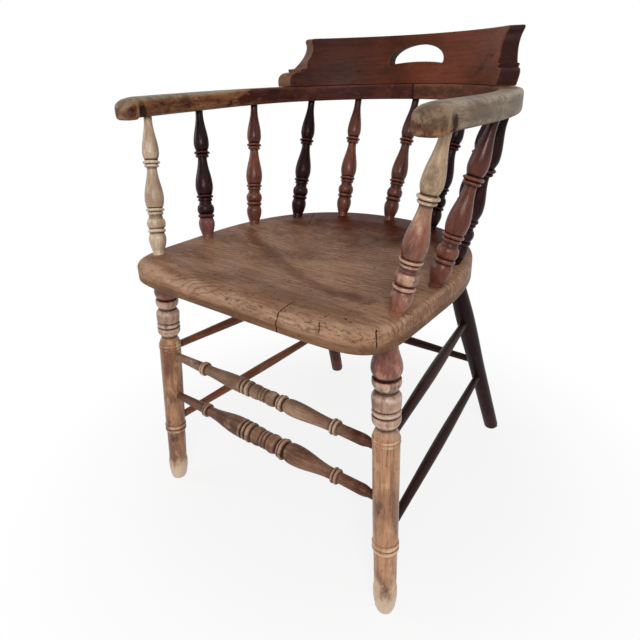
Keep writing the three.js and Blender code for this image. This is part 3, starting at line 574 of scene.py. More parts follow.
def carve_seat():
    """Rings of the outline, each with its own inset, height and share of the way out from the middle: the
    underside, the bevel, the upright edge, the roll over the rim, and the dished top."""
    angle = np.arange(SEAT_SIDES) / SEAT_SIDES * 2 * np.pi
    front = np.maximum(0, -np.sin(angle)) ** 2
    over, inward = between(ROLL_DOWN, FRONT_ROLL_DOWN, front), between(ROLL_IN, FRONT_ROLL_IN, front)
    rings, exposed = [], []
    centre = np.array([0, SEAT_WIDEST_Y])

    def add(plan, height, exposure):
        """One more ring: a plan at a height."""
        rings.append(np.column_stack([plan, np.broadcast_to(height, SEAT_SIDES)]))
        exposed.append(np.full(SEAT_SIDES, exposure))

    edge, under, outer = seat_edge(angle, 0), seat_edge(angle, BEVEL_IN), seat_edge(angle, inward)
    rim = SEAT_HEIGHT - hollow(edge[:, 0], edge[:, 1], 1)
    for share in (0.2, 0.5, 0.8, 0.97):
        add(centre + (under - centre) * share, SEAT_UNDERSIDE, -0.3)
    for share in np.linspace(0, 1, 8):
        add(seat_edge(angle, BEVEL_IN * (1 - share) ** 1.5), SEAT_UNDERSIDE + BEVEL_UP * share, 0)
    for share in np.linspace(0.1, 0.9, 5):
        add(edge, between(SEAT_UNDERSIDE + BEVEL_UP, rim - over, share), 0)
    for bend in np.linspace(0, np.pi / 2, 14):
        plan = seat_edge(angle, inward * (1 - np.cos(bend)))
        add(plan, rim - over * (1 - np.sin(bend)), 0.5 * np.sin(bend * 2))
    for share in np.concatenate([np.linspace(0.985, 0.7, 26), np.linspace(0.68, 0.04, 28)]):
        plan = centre + (outer - centre) * share
        add(plan, SEAT_HEIGHT - hollow(plan[:, 0], plan[:, 1], share), 0.25 * (1 - share))
    rings = np.array(rings)
    boards = np.stack([rings[..., 1], rings[..., 2] - SEAT_HEIGHT, rings[..., 0]], -1)
    return skin("seat_plank", rings + middle, boards, np.array(exposed))


seat = carve_seat()
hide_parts("seat")
print("seat faces:", len(seat.data.polygons))

# %% [markdown]
# ## The crest
#
# A thick board that follows the bow, leans back and thins towards its top. Its ends are sawn straight across to an
# ogee: a round lobe, a small step and a long hollow up to the top corner, sawn a little askew. The hand hole is a
# low dome over a nearly straight sill with a rounded tip at each side. The board is worked out as columns along the
# bow. Where the ogee is, a column stands at one depth on both faces, because the saw went straight across; where
# the hole is, at one distance from the middle. Each column has a lower and an upper run of points, which part at
# the hole.

# %% Shape the crest
CREST_HEIGHT = 84 * MM
CREST_FOOT_DEPTH = 28 * MM
CREST_TOP_DEPTH = 17 * MM
CREST_LEAN = 32 * MM
CREST_END_Y = 182 * MM
CREST_END_EXTRA = 6 * MM
CREST_END_SKEW = 9 * MM
HOLE_HALF = 55 * MM
HOLE_HEIGHT = 28 * MM
HOLE_RISE = 38 * MM
HOLE_TIP = 6 * MM
SILL_DROP = 1.1 * MM
# The ogee's places, as millimetres back from the foot's end and up from it.
LOBE, COVE, CORNER, TOP_CORNER = np.array([[24, 25], [35, 31.5], [67, 75.5], [76, 84]])
STEP = [[0.15, 1.5], [0.3, 5], [2, 5.6], [6, 5.8], [10, 6]]
# What an angle on the ellipse is worked out from: its inverse, its own half axis and the other one.
BY_DEPTH = (np.arccos, BOW_BACK_REACH, BOW_HALF_WIDTH)
BY_SIDE = (np.arcsin, BOW_HALF_WIDTH, BOW_BACK_REACH)


def ellipse_speed(angle):
    """How fast the bow's ellipse runs at an angle, which makes its direction a unit vector."""
    return np.hypot(BOW_BACK_REACH * np.sin(angle), BOW_HALF_WIDTH * np.cos(angle))


def crest_offset(height, back, at_end):
    """The offset of the crest's front or back face across the bow at a height above its foot. Towards the ends the
    board stays thicker at the top."""
    share = height / CREST_HEIGHT
    front = -BOW_BACK_WIDTH / 2 + CREST_LEAN * (0.8 * share + 0.2 * share ** 2)
    return front + back * between(CREST_FOOT_DEPTH, CREST_TOP_DEPTH + CREST_END_EXTRA * at_end, share)


def face_angle(distance, offset, inverse, reach, other):
    """The ellipse angle at which a face with this offset lies at this depth, or this far from the middle, by a few
    rounds of substitution."""
    angle = inverse(np.clip(distance / (reach + offset), -1, 1))
    for _ in range(12):
        angle = inverse(np.clip(distance / (reach + offset * other / ellipse_speed(angle)), -1, 1))
    return angle


def ogee():
    """The end's outline from the foot up to the top, as depth and height: a quarter-round lobe, a step, a long
    hollow that turns upright, and a rounded corner."""
    lobe, cove, corner = (np.linspace(0, 1, count)[:, None] for count in (26, 36, 14))
    outline = np.concatenate([
        LOBE * np.hstack([lobe ** 2, 2 * lobe - lobe ** 2]),
        LOBE + STEP,
        (COVE + [32, 44] * np.hstack([1 - (1 - cove) ** 1.7, cove]))[1:],
        (CORNER + (TOP_CORNER - CORNER) * np.hstack([corner ** 2, 2 * corner - corner ** 2]))[1:],
    ]) * MM
    return CREST_END_Y + outline[:, 0], outline[:, 1]


def hole_edges(aside):
    """The hole's lower and upper edges above the crest's foot at a distance from the middle: circle arcs at the
    tips and a sill between them that is highest in the middle, under half an ellipse."""
    centre = HOLE_HALF - HOLE_TIP
    arc = -np.sqrt(np.maximum(0, HOLE_TIP ** 2 - (aside - centre) ** 2))
    eighth = HOLE_TIP * math.sqrt(0.5)
    sill = between(-SILL_DROP, -eighth, np.clip(aside / (centre - eighth), 0, 1) ** 2)
    low = HOLE_RISE + np.where(aside > centre - eighth, arc, sill)
    return low, HOLE_RISE + HOLE_HEIGHT * np.sqrt(np.maximum(0, 1 - (aside / HOLE_HALF) ** 2))


def rows_between(low, high, inner=9):
    """Heights from one edge to the other, close together near both, so that the worn corners can be rounded."""
    gap = (high - low)[:, None]
    near = np.minimum(np.array([[0, 0.3, 0.8, 1.5, 2.4]]) * MM, gap * 0.2)
    span = near[:, -1:] + (gap - 2 * near[:, -1:]) * np.linspace(0, 1, inner + 2)[None, 1:-1]
    return low[:, None] + np.concatenate([near, span, gap - near[:, ::-1]], 1)


def shape_crest():
    """Half of the board, from its end to its middle, as columns of heights, with the ellipse angle and the offset
    of each point on the front and the back face."""
    end_y, end_top = ogee()
    plain = np.linspace(0, 1, 46)[1:]
    tip = 1 - np.cos(np.linspace(0, np.pi / 2, 26))
    hole_x = HOLE_HALF * np.concatenate([1 - tip * 0.25, np.linspace(0.75, 0, 40)[1:]])[1:]
    first_plain, first_hole = len(end_y), len(end_y) + len(plain)
    top = np.concatenate([end_top, np.full(len(plain) + len(hole_x), CREST_HEIGHT)])
    low_edge = top * HOLE_RISE / CREST_HEIGHT
    high_edge = low_edge.copy()
    low_edge[first_hole:], high_edge[first_hole:] = hole_edges(hole_x)
    lower = rows_between(np.zeros(len(top)), low_edge)
    height = np.concatenate([lower, rows_between(high_edge, top)], 1)
    at_end = np.concatenate([np.ones(first_plain), (1 - plain) ** 2, 0 * hole_x])[:, None]
    faces_of = []
    for back in (0, 1):
        offset = crest_offset(height, back, at_end)
        depth = end_y - CREST_END_SKEW * smooth(end_top, 29 * MM, 44 * MM) * (1 - back)
        on_ogee, on_plain, at_hole = np.split(offset, [first_plain, first_hole])
        faces_of.append((np.concatenate([
            face_angle(depth[:, None], on_ogee, *BY_DEPTH),
            between(face_angle(depth[-1], on_plain, *BY_DEPTH), face_angle(HOLE_HALF, on_plain, *BY_SIDE),
                    plain[:, None]),
            face_angle(hole_x[:, None], at_hole, *BY_SIDE),
        ]), offset))
    return height, faces_of, lower.shape[1], first_plain, first_hole


height, crest_faces, lower_rows, first_plain, first_hole = shape_crest()
print("crest columns and rows:", height.shape)

# %% [markdown]
# ## The crest's board
#
# Both faces are grids of four-sided faces with a gap for the hole. Strips along the foot, the outline and the hole
# join them. The rims of an old crest are worn round, so points near a rim sink a little. The faces inside the hand
# hole get painted shade.

# %% Join the crest's faces into a board
GLUE_GAP = 0.3 * MM
WORN_CORNER = 2.2 * MM
RUBBED_RIM = 3 * MM
RIM_POINTS_AT_ONCE = 200
CREST_RADIUS = 0.29
CREST_BOARD_PLACE = [0.3, 0.2, 5.0]


def crest_face(angle, offset):
    """The points of one face on the left, and the directions across the bow there: the ellipse point at each
    angle, moved across by the offset."""
    sine, cosine = np.sin(angle), np.cos(angle)
    across = np.stack([-BOW_BACK_REACH * sine, BOW_HALF_WIDTH * cosine, 0 * sine], -1)
    across /= ellipse_speed(angle)[..., None]
    points = np.stack([-BOW_HALF_WIDTH * sine, BOW_BACK_REACH * cosine, BOW_TOP + GLUE_GAP + height], -1)
    return points + across * offset[..., None] + middle, across


def both_halves(values, side_axis=False):
    """A half's columns and their mirror image, without doubling the middle column."""
    mirrored = values[::-1][1:].copy()
    if side_axis:
        mirrored[..., 0] *= -1
    return np.concatenate([values, mirrored], 0)


def soften(points, rim, outward):
    """Rounds a worn corner: a point nearer the rim than the radius sinks along the face's inward direction as the
    arc of a circle does."""
    nearest = np.full(len(points), np.inf)
    for start in range(0, len(rim), RIM_POINTS_AT_ONCE):
        gap = points[:, None] - rim[None, start:start + RIM_POINTS_AT_ONCE]
        nearest = np.minimum(nearest, np.sqrt((gap ** 2).sum(-1)).min(1))
    inside = np.clip(WORN_CORNER - nearest, 0, WORN_CORNER)
    sink = WORN_CORNER - np.sqrt(WORN_CORNER ** 2 - inside ** 2)
    return points - outward * sink[:, None], nearest


def quads(a, b, c, d, flip=False):
    """Four-sided faces from four arrays of point numbers, turned over where flip says so."""
    made = np.stack([a.ravel(), b.ravel(), c.ravel(), d.ravel()], -1)
    return made[:, ::-1] if flip else made


def build_crest():
    """Quads over both faces, and strips along the foot, the outline and the hole."""
    columns, rows = 2 * len(height) - 1, height.shape[1]
    number = np.arange(2 * columns * rows).reshape(2, columns, rows)
    in_hole = np.arange(first_hole, columns - first_hole)
    points, near = [], []
    for (angle, offset), toward in zip(crest_faces, (-1, 1)):
        half, across = crest_face(angle, offset)
        grid, outward = both_halves(half, True), both_halves(across * toward, True)
        rim = np.concatenate([grid[:, -1], grid[in_hole, lower_rows - 1], grid[in_hole, lower_rows]])
        worn, to_rim = soften(grid.reshape(-1, 3), rim, outward.reshape(-1, 3))
        points.append(worn)
        near.append(to_rim)
    near = np.concatenate(near)
    faces = []
    for face, flip in zip(number, (False, True)):
        for low, high in ((0, lower_rows - 1), (lower_rows, rows - 1)):
            part = face[:, low:high + 1]
            faces.append(quads(part[:-1, :-1], part[1:, :-1], part[1:, 1:], part[:-1, 1:], flip))
    front, back = number
    round_hole = slice(first_hole - 1, columns - first_hole + 1)
    faces.append(quads(front[:-1, 0], back[:-1, 0], back[1:, 0], front[1:, 0]))
    faces.append(quads(front[:-1, -1], front[1:, -1], back[1:, -1], back[:-1, -1]))
    sill, under_sill = front[round_hole, lower_rows - 1], back[round_hole, lower_rows - 1]
    dome, under_dome = front[round_hole, lower_rows], back[round_hole, lower_rows]
    faces.append(quads(sill[:-1], sill[1:], under_sill[1:], under_sill[:-1]))
    faces.append(quads(dome[:-1], under_dome[:-1], under_dome[1:], dome[1:]))
    for end, flip in ((0, False), (-1, True)):
        faces.append(quads(front[end, :-1], front[end, 1:], back[end, 1:], back[end, :-1], flip))
    angles, deep = (np.stack([both_halves(face[index]) for face in crest_faces]) for index in (0, 1))
    angles[:, columns // 2 + 1:] *= -1
    tall = np.broadcast_to(both_halves(height), number.shape)
    boards = np.stack([tall, deep, angles * CREST_RADIUS], -1).reshape(-1, 3) + CREST_BOARD_PLACE
    exposed = np.clip(1 - near / RUBBED_RIM, 0, 1) * 0.35
    tall, column = tall.ravel(), np.broadcast_to(np.arange(columns)[:, None], number.shape).ravel()
    # The faces inside the hand hole get painted shade: their exposure is set low, which the wood turns to its dirt
    # colour.
    hole_painted_shade = (np.abs(column - columns // 2) < columns // 2 + 1 - first_hole) & (near < 0.1 * MM)
    exposed[hole_painted_shade & (tall >= 1 * MM) & (tall <= CREST_HEIGHT - 1 * MM)] = -0.6
    sawn = np.zeros(number.shape)
    sawn[:, :first_plain, -1] = sawn[:, -first_plain:, -1] = 1
    return np.concatenate(points), np.concatenate(faces).tolist(), boards, exposed, sawn.ravel()


crest = finish_mesh("crest_board", *build_crest())
work = bmesh.new()
work.from_mesh(crest.data)
bmesh.ops.remove_doubles(work, verts=work.verts, dist=0.02 * MM)
bmesh.ops.dissolve_degenerate(work, edges=work.edges, dist=0.005 * MM)
bmesh.ops.recalc_face_normals(work, faces=work.faces)
open_edges = sum(1 for edge in work.edges if not edge.is_manifold)
work.to_mesh(crest.data)
work.free()
crest.data.shade_smooth()
crest.data.set_sharp_from_angle(angle=SHARP)
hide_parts("crest")
print("crest faces:", len(crest.data.polygons), "open edges:", open_edges)

# %% [markdown]
# ## Sums with nodes
#
# A material is a tree of nodes, and most of a tree is arithmetic on masks. Writing each sum as nodes by hand is
# long, so a value here carries its tree, and plus, minus and times between values make the Math nodes.

# %% Helpers for shader trees
class Value:
    """A node's output in its tree. A sum, difference or product with it makes a Math node."""

    def __init__(self, tree, socket):
        self.tree, self.socket = tree, socket

    def __add__(self, other):
        return maths("ADD", self, other)

    def __sub__(self, other):
        return maths("SUBTRACT", self, other)

    def __mul__(self, other):
        return maths("MULTIPLY", self, other)


def feed(made, inputs):
    """Gives a node its inputs: a plain number or colour is set, and a value is linked."""
    for key, given in inputs.items():
        if isinstance(given, Value):
            given.tree.links.new(given.socket, made.inputs[key])
        else:
            made.inputs[key].default_value = given


def node(tree, kind, inputs=None, output=0, **settings):
    """The output of a new node with its inputs and settings."""
    made = tree.nodes.new("ShaderNode" + kind)
    for key, setting in settings.items():
        setattr(made, key, setting)
    feed(made, inputs or {})
    return Value(tree, made.outputs[output])


def maths(operation, *values, clamp=False):
    """A Math node's output. The first value gives the tree."""
    return node(values[0].tree, "Math", dict(enumerate(values)), operation=operation, use_clamp=clamp)


def largest(first, *others):
    """The largest of some values."""
    for other in others:
        first = maths("MAXIMUM", first, other)
    return first


def vector(operation, first, second, output=0):
    """A Vector Math node's output. Scaling takes its number at another input."""
    second_input = 3 if operation == "SCALE" else 1
    return node(first.tree, "VectorMath", {0: first, second_input: second}, output, operation=operation)


def blend(factor, low, high):
    """A mix of two colours: low where the factor is 0, high where it is 1."""
    return node(factor.tree, "Mix", {0: factor, 6: low, 7: high}, 2, data_type="RGBA")


def spread(value, low, high, to_low=0.0, to_high=1.0):
    """A value's range mapped smoothly to another. Where low is above high, the value runs the other way."""
    limits = {0: value, 1: low, 2: high, 3: to_low, 4: to_high}
    return node(value.tree, "MapRange", limits, interpolation_type="SMOOTHSTEP")


def speckle(place, scale, stretch=(1, 1, 1), detail=2.0, roughness=0.5):
    """Noise of a stretched place."""
    noise = {"Vector": vector("MULTIPLY", place, stretch), "Scale": scale, "Detail": detail, "Roughness": roughness}
    return node(place.tree, "TexNoise", noise)


def attribute(tree, name, output="Fac"):
    """A value that the mesh carries."""
    return node(tree, "Attribute", output=output, attribute_name=name)


def object_place(tree):
    """The object's own place of a point."""
    return node(tree, "TexCoord", output="Object")


def component(place, axis):
    """A place's X, Y or Z."""
    return node(place.tree, "SeparateXYZ", {0: place}, axis)


def along(axis, low, high, wobble=0.02):
    """What makes a mask in a tree: a point's X, Y or Z, moved by noise of up to the wobble, runs smoothly from 0
    at low to 1 at high."""

    def mask(tree):
        place = object_place(tree)
        uneven = (speckle(place, 45, detail=4.0) - 0.5) * (wobble * 2)
        return spread(component(place, axis) + uneven, low, high)

    return mask


def new_group(name, inputs, outputs):
    """A shader group with its sockets, given by kind: its inputs as values, its output node and its tree."""
    group = bpy.data.node_groups.new(name, "ShaderNodeTree")
    for way, sockets in (("INPUT", inputs), ("OUTPUT", outputs)):
        for kind, names in sockets.items():
            for key in names.split():
                group.interface.new_socket(name=key, in_out=way, socket_type="NodeSocket" + kind)
    given = group.nodes.new("NodeGroupInput").outputs
    return {socket.name: Value(group, socket) for socket in given}, group.nodes.new("NodeGroupOutput"), group


def new_material(name):
    """A material, its tree and its shader."""
    material = bpy.data.materials.new(name)
    material.use_nodes = True
    return material, material.node_tree, material.node_tree.nodes["Principled BSDF"]


def linear(code):
    """A screen colour's linear value."""
    parts = np.array([int(code[i:i + 2], 16) for i in (0, 2, 4)]) / 255
    return (*np.where(parts <= 0.04045, parts / 12.92, ((parts + 0.055) / 1.055) ** 2.4), 1)


# %% [markdown]
# ## Old wood
#
# Under an old polish the wood shows slow patches of darker and lighter colour, streaks and fine fibres along the
# grain, short dark pores and a few blots. Hands then wear the edges pale and leave dirt in the grooves. The same
# worn and dirt colours also paint a highlight on the arms' grip ridges and shade in the arms' hollows and inside
# the crest's hand hole. One shader group makes all of it from the board place and the exposure that the meshes
# carry, and each material gives it colours of its own.

# %% Build the old wood group
BUMP = {"Strength": 0.5, "Distance": 0.0008}
USUAL_AMOUNTS = {"Patches": 0.6, "Grain": 0.5, "Wear": 0.5, "Grime": 0.85, "Blots": 0.3, "Gloss": 0.3}


def old_wood_group():
    """Colour, roughness and height of polished old wood. Patches, streaks and fibres mix the body colour with the
    dark one, exposed places go to the worn colour, and blots, pores, stains and grooves to the dirt colour. Through
    the exposure, the worn colour also paints a highlight on the arms' grip ridges, and the dirt colour paints
    shade in the arms' hollows and inside the crest's hand hole."""
    given, result, group = new_group(
        "old wood",
        {"Vector": "Board", "Color": "Body Dark Worn Dirt",
         "Float": "Exposed Stain Patches Grain Wear Grime Blots Gloss"},
        {"Color": "Colour", "Float": "Roughness Height"},
    )
    board = given["Board"]
    slow = speckle(board, 16, (1, 1, 0.45), 4, 0.6)
    wide = speckle(board, 60, (1, 1, 0.5), 4, 0.65)
    streak = speckle(board, 1, (190, 190, 10), 4, 0.65)
    fibre = speckle(board, 1, (520, 520, 34), 3, 0.6)
    blot = speckle(board, 34, (1, 1, 0.55), 5, 0.72)
    pore = speckle(board, 1, (700, 700, 90), 2, 0.5)
    colour = blend(spread(slow, 0.41, 0.6) * given["Patches"], given["Body"], given["Dark"])
    lines = spread(streak, 0.42, 0.64) * 0.75 + spread(fibre, 0.4, 0.7) * 0.35
    colour = blend(lines * given["Grain"], colour, given["Dark"])
    # High exposure goes to the worn colour: wear on rubbed edges, and a painted highlight on the arms' grip ridges.
    rub_and_painted_highlight = given["Exposed"] + (wide - 0.5) * 2.2
    colour = blend(spread(rub_and_painted_highlight, 0.1, 0.7) * given["Wear"], colour, given["Worn"])
    pores = spread(pore, 0.62, 0.72) * 0.6
    blots = spread(blot, 0.56, 0.68) * given["Blots"]
    # Low exposure goes to the dirt colour: dirt in the grooves of turned work, and painted shade in the arms' hollows
    # and inside the crest's hand hole.
    groove_dirt_and_painted_shade = spread(given["Exposed"], -0.15, -0.85) * given["Grime"]
    dirt_and_painted_shade = largest(pores, blots, groove_dirt_and_painted_shade, given["Stain"])
    feed(result, {
        "Colour": blend(dirt_and_painted_shade, colour, given["Dirt"]),
        "Roughness": given["Gloss"] + wide * 0.22 + dirt_and_painted_shade * 0.2,
        "Height": wide * 0.6 - dirt_and_painted_shade * 0.4 - lines * 0.3,
    })
    return group


old_wood = old_wood_group()


def wood(name, palette, *layers, stain=None, shine=0.12, **amounts):
    """A material of old wood. A palette is its body, dark, worn and dirt colours, and a layer is another palette
    and its mask: the colours of each layer go over the last ones where its mask says so. The worn colour also
    paints a highlight on the arms' grip ridges, and the dirt colour paints shade in the arms' hollows and the
    crest's hand hole."""
    material, tree, shader = new_material(name)
    inputs = {"Board": attribute(tree, "board", "Vector"), "Exposed": attribute(tree, "exposed")}
    masks = [(others.split(), mask(tree)) for others, mask in layers]
    for index, key in enumerate(("Body", "Dark", "Worn", "Dirt")):
        inputs[key] = linear(palette.split()[index])
        for others, mask in masks:
            inputs[key] = blend(mask, inputs[key], linear(others[index]))
    if stain:
        inputs["Stain"] = stain(tree)
    made = tree.nodes.new("ShaderNodeGroup")
    made.node_tree = old_wood
    feed(made, {**inputs, **USUAL_AMOUNTS, **amounts})
    colour, roughness, height = (Value(tree, made.outputs[key]) for key in ("Colour", "Roughness", "Height"))
    raised = node(tree, "Bump", {"Height": height, **BUMP})
    feed(shader, {"Base Color": colour, "Roughness": roughness, "Normal": raised, "Specular IOR Level": shine})
    return material


print("old wood nodes:", len(old_wood.nodes))

# %% [markdown]
# ## Marks on the seat
#
# The seat has a broad dark band that runs slantwise over it, an open crack at its front edge and a few short ones.
# Each is a row of strokes: a stroke is dark where a point lies near the line between two places in plan. Thin
# growth lines lie in flat arcs over the whole plank. The places here are in millimetres.

# %% Draw the seat's marks
BAND = [(-222, -25), (-126, -77), (-46, -120), (-2, -139), (50, -160), (110, -178), (171, -184)]
LONG_CRACK = [(92, -240), (89, -255), (89, -268), (97, -292)]
SHORT_CRACKS = [
    [(152, -268), (158, -276)],
    [(221, -250), (225, -256)],
    [(-151, 115), (-119, 56)],
    [(174, -247), (179, -249)],
]
GROWTH_CENTRE, GROWTH_FLATNESS, GROWTH_LINES = (0.1, -0.42), 0.75, 760.0


def stroke_group():
    """A mask that is 1 within a width of the line from one place to another and 0 past the soft border."""
    given, result, group = new_group("stroke", {"Vector": "Place From To", "Float": "Width Border"}, {"Float": "Mask"})
    here = vector("SUBTRACT", given["Place"], given["From"])
    line = vector("SUBTRACT", given["To"], given["From"])
    share = maths("DIVIDE", vector("DOT_PRODUCT", here, line, 1), vector("DOT_PRODUCT", line, line, 1), clamp=True)
    apart = vector("DISTANCE", here, vector("SCALE", line, share), 1)
    feed(result, {"Mask": spread(apart, given["Width"], given["Width"] + given["Border"], 1.0, 0.0)})
    return group


stroke = stroke_group()


def strokes(place, line, width, border):
    """The strongest of a row of strokes along a line of places, in millimetres."""
    return largest(*(
        node(place.tree, "Group", {
            "Place": place, "From": (*np.multiply(start, MM), 0), "To": (*np.multiply(end, MM), 0),
            "Width": width * MM, "Border": border * MM,
        }, node_tree=stroke)
        for start, end in zip(line[:-1], line[1:])
    ))


def wavy_plan(tree, scale, reach):
    """The object place in plan, pushed about by noise."""
    place = object_place(tree)
    noise = node(tree, "TexNoise", {"Vector": place, "Scale": scale, "Detail": 3.0}, "Color")
    push = vector("SCALE", vector("SUBTRACT", noise, (0.5, 0.5, 0.5)), reach)
    return vector("MULTIPLY", vector("ADD", place, push), (1, 1, 0))


def seat_stain(tree):
    """The cracks, the growth lines, the pits and the dark specks along the front roll, as one mask. The growth
    lines are a sine wave of the distance from a far middle."""
    broad, fine = wavy_plan(tree, 22, 0.03), wavy_plan(tree, 160, 0.005)
    board = attribute(tree, "board", "Vector")
    upper_edge = along("Z", 0.436, 0.439, 0.002)(tree)
    cracks = [strokes(fine, line, 0.4, 0.8) * upper_edge for line in SHORT_CRACKS]
    aside = (component(broad, "X") - GROWTH_CENTRE[0]) * GROWTH_FLATNESS
    ahead = component(broad, "Y") - GROWTH_CENTRE[1]
    wave = maths("SINE", maths("SQRT", aside * aside + ahead * ahead) * GROWTH_LINES)
    growth = spread(wave, 0.35, 1.0) * spread(speckle(board, 24, (1, 1, 0.4), 3), 0.4, 0.62, 0.0, 0.42)
    front_roll = spread(component(fine, "Y"), -0.256, -0.27) * spread(component(fine, "X"), -0.14, 0.0)
    specks = spread(speckle(board, 1, (330, 330, 80), 3, 0.7), 0.54, 0.62) * (front_roll * 0.6)
    pits = spread(speckle(board, 1, (300, 300, 110), 2, 0.6), 0.63, 0.69, 0.0, 0.7)
    on_top = spread(component(object_place(tree), "Z"), 0.441, 0.449)
    return largest(strokes(fine, LONG_CRACK, 0.5, 0.9), *cracks, largest(pits, growth, specks) * on_top)


def seat_darker(tree):
    """Where the seat is darker and redder: the back, and the slanting band."""
    band = strokes(wavy_plan(tree, 22, 0.03), BAND, 3, 15) * 0.55
    return largest(band, along("Y", -0.03, 0.11, 0.06)(tree))


print("strokes on the seat:", len(BAND) + len(LONG_CRACK) - 2 + len(SHORT_CRACKS))

# %% [markdown]
# ## The finishes
#
# The pieces have aged very differently. Some spindles are still almost black, one is bleached to pale tan, others
# are red brown. The arms are worn through to a dull grey beige, but keep their mahogany colour inside and round the
# back. The crest keeps it all over. The seat is a grey brown, redder towards the back.

# %% Make the finishes
MAHOGANY = "451a12 240c08 67382a 0e0605"
NIGHT = "2b1215 130709 542d30 080404"
KEPT_WEIGHT, BLOTCH_WEIGHT = 1.7, 3.2


def finish_kept(tree):
    """Where an arm keeps its old finish: the mesh's mark with noise added, cut off softly, for a blotchy border."""
    uneven = speckle(object_place(tree), 60, (1, 0.4, 1), 5.0, 0.7) - 0.5
    return spread(attribute(tree, "kept") * KEPT_WEIGHT + uneven * BLOTCH_WEIGHT, 0.85, 1.4)


def finish_kept_right(tree):
    """Where the right half of the bow keeps its finish, which is browner."""
    return finish_kept(tree) * along("X", -0.02, 0.02, 0.01)(tree)


def finish_thin(tree):
    """Where an arm's finish is worn thin and shows orange brown."""
    return spread(attribute(tree, "kept"), 0.1, 0.45)


def sawn_end(low, high):
    """The crest's end on one side, which its mesh marks."""
    return lambda tree: attribute(tree, "kept") * along("X", low, high)(tree)


finish = {
    "seat_wood": wood(
        "seat wood", "a88166 704d3a c4a188 2c1710", ("5f2b15 40190c 77432a 240e07", seat_darker),
        ("88664d 5c3f2e a5826a 2c1710", along("Z", 0.444, 0.438, 0.003)),
        stain=seat_stain, Patches=0.65, Grain=0.6, Blots=0.15, Gloss=0.27, shine=0.03),
    "arm_wood": wood(
        "arm wood", "8d7b66 5a4738 afa18d 241812", ("7b6149 513a2a a28d72 1f110c", along("Y", -0.188, -0.21, 0.012)),
        ("86583a 49291b ab8560 1a0c08", finish_thin), (MAHOGANY, finish_kept),
        ("673a26 40241a 835843 140a08", finish_kept_right),
        Patches=0.75, Grain=0.85, Blots=0.5, Gloss=0.34, shine=0.14),
    "crest_wood": wood(
        "crest wood", "482217 2a120c 66402f 120705", ("6c3520 47210f 7e4b30 1c0b07", along("X", -0.14, 0.06, 0.08)),
        ("30110f 1e0b08 422019 0e0605", sawn_end(0.0, 0.1)), ("765039 523327 8c6a50 1c0e0b", sawn_end(0.0, -0.1)),
        Wear=0.25, Blots=0.6, Gloss=0.34, shine=0.1),
    "front_leg_wood": wood(
        "front leg wood", "bd8c66 6c412b dfc09f 1c0e0a", ("b8957f 6c4535 ddc2ae 120706", along("Z", 0.29, 0.33, 0.04)),
        ("935a48 522a20 c4917c 120706", along("Z", 0.368, 0.384, 0.015)),
        ("d0b698 94755a e2cbb0 4a3226", along("Z", 0.046, 0.014, 0.018)),
        Patches=0.9, Grain=0.7, Wear=0.7, Blots=0.7, Gloss=0.18, shine=0.35),
    "back_leg_wood": wood("back leg wood", NIGHT, Wear=0.25, shine=0.1),
    "pale_turning": wood("pale turning", "d6bfa4 94765c e8d6c0 432b1d", Patches=0.8, Wear=0.55, Blots=0.5,
                         Gloss=0.18, shine=0.3),
    "red_turning": wood("red turning", "7c4634 381a15 8d5846 120706", (MAHOGANY, along("Z", 0.58, 0.67, 0.03)),
                        Wear=0.4, Blots=0.45, Gloss=0.13, shine=0.2),
    "dark_turning": wood("dark turning", NIGHT, Gloss=0.12, shine=0.09),
    "red_dowel": wood("red dowel", "8a5640 4f2d22 a87a5e 1a0d0a"),
    "dark_dowel": wood("dark dowel", "301613 190a08 553229 0a0505"),
}
right_end = ("5e382b 331b15 9c7460 120706", along("X", 0.13, 0.185, 0.03))
stretcher_amounts = {"Patches": 0.8, "Wear": 0.6, "Blots": 0.6}
own_finish = {
    "left_arm_spindle_1": wood("dark turning with a worn foot", NIGHT,
                               ("7c5048 4a2824 a87c6c 120706", along("Z", 0.505, 0.487, 0.012)), Blots=0.5, Gloss=0.12),
    "back_left_leg": wood("red brown leg", "5c3026 361a15 7e5040 100706", Wear=0.4),
    "right_arm_spindle_2": wood("bleached red turning", "9c6651 552d22 cba48c 120706",
                                ("b59a7c 866a4f d4bd9f 2e1d16", along("Z", 0.565, 0.61, 0.03)), Wear=0.7, Blots=0.5,
                                Gloss=0.14, shine=0.3),
    "front_lower_stretcher": wood("brown turning", "8a6550 482b22 c4a288 1a0d0a", right_end, **stretcher_amounts),
    "front_upper_stretcher": wood("tan turning", "a78870 6c4d3c d0b49a 24150f", right_end, **stretcher_amounts),
}
slot_of = {entry["node"]: entry["material_slot"] for entry in frame["record"]["subparts"]}
dressed = {**legs, **stretchers, **spindles, **arms, "seat": seat, "crest": crest}
for name, piece in dressed.items():
    piece.data.materials.append(own_finish.get(name, finish[slot_of[name]]))
    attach(piece, "root")
print("dressed:", len(dressed))

# %% [markdown]
# ## The screws
#
# Four steel screws hold the crest down from below. They are hidden in the bow, so the joiner's solids stay and
# only get a dull steel.

# %% Finish the screws
steel, tree, shader = new_material("screw steel")
patina = speckle(object_place(tree), 600, detail=3)
feed(shader, {
    "Base Color": blend(patina, linear("5d5753"), linear("86807a")),
    "Roughness": spread(patina, 0.3, 0.7, 0.35, 0.6),
    "Metallic": 1.0,
})
screws = [solid for name, solid in frame["nodes"].items() if "screw" in name]
for screw in screws:
    screw.data.materials.clear()
    screw.data.materials.append(steel)
print("screws:", len(screws))

# %% [markdown]
# ## The studio
#
# A white floor and a white world, as in the photograph. The world lights the chair weakly from all sides and shows
# plain white to the camera. A soft lamp near the camera gives most of the light, a weaker one comes from the left.
# The floor's shadow stays, but fades to plain white away from the chair.

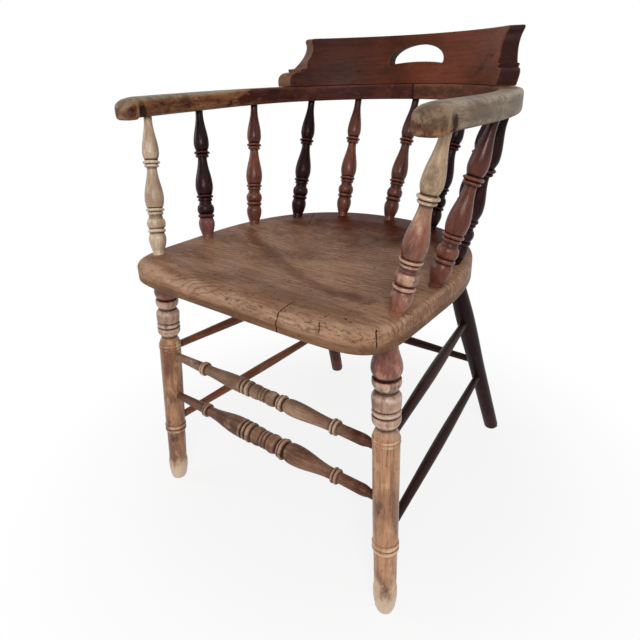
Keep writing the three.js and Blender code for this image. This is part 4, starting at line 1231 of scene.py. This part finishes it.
# %% Light the chair
FLOOR_HALF, FLOOR_Z = 6, -0.0005
WORLD_STRENGTH = 0.38
corners = [(x * FLOOR_HALF, y * FLOOR_HALF, FLOOR_Z) for x, y in ((-1, -1), (1, -1), (1, 1), (-1, 1))]
floor_mesh = bpy.data.meshes.new("floor")
floor_mesh.from_pydata(corners, [], [(0, 1, 2, 3)])
floor = add_object("floor", floor_mesh)


def seen(tree):
    """1 for the rays that show the surroundings: from the camera, from a mirror and through glass."""
    rays = ("Is Camera Ray", "Is Glossy Ray", "Is Transmission Ray")
    return largest(*(node(tree, "LightPath", output=ray) for ray in rays))


floor_paint, tree, shader = new_material("floor paint")
feed(shader, {"Base Color": (0.8, 0.8, 0.8, 1), "Roughness": 0.9})
away = node(tree, "VectorMath", {0: object_place(tree)}, "Value", operation="LENGTH")
plain_white = spread(away, 0.25, 0.7, 0.82, 1.0) * seen(tree)
white = node(tree, "Emission", {"Color": (1, 1, 1, 1), "Strength": 1.0})
mixed = node(tree, "MixShader", {0: plain_white, 1: Value(tree, shader.outputs[0]), 2: white})
feed(tree.nodes["Material Output"], {"Surface": mixed})
floor_mesh.materials.append(floor_paint)

world = bpy.data.worlds.new("white room")
world.use_nodes = True
bpy.context.scene.world = world
strength = spread(seen(world.node_tree), 0, 1, WORLD_STRENGTH, 1.0)
feed(world.node_tree.nodes["Background"], {"Color": (1, 1, 1, 1), "Strength": strength})


def lamp(name, place, aim, size, power):
    """A square area lamp at a place, turned towards a point."""
    data = bpy.data.lights.new(name, "AREA")
    data.shape = "SQUARE"
    data.size = size
    data.energy = power
    away = unit(np.array(place) - np.array(aim))
    across = unit(np.cross([0, 0, 1], away))
    return add_object(name, data, [across, np.cross(away, across), away, place])


lamps = [
    lamp("key", (1.5, -1.9, 1.9), (0, 0, 0.4), 1.0, 44),
    lamp("left", (-2.3, -1.3, 1.7), (0, 0, 0.45), 1.2, 14),
]
bpy.context.scene.view_settings.view_transform = "Standard"
print("lamps:", len(lamps))
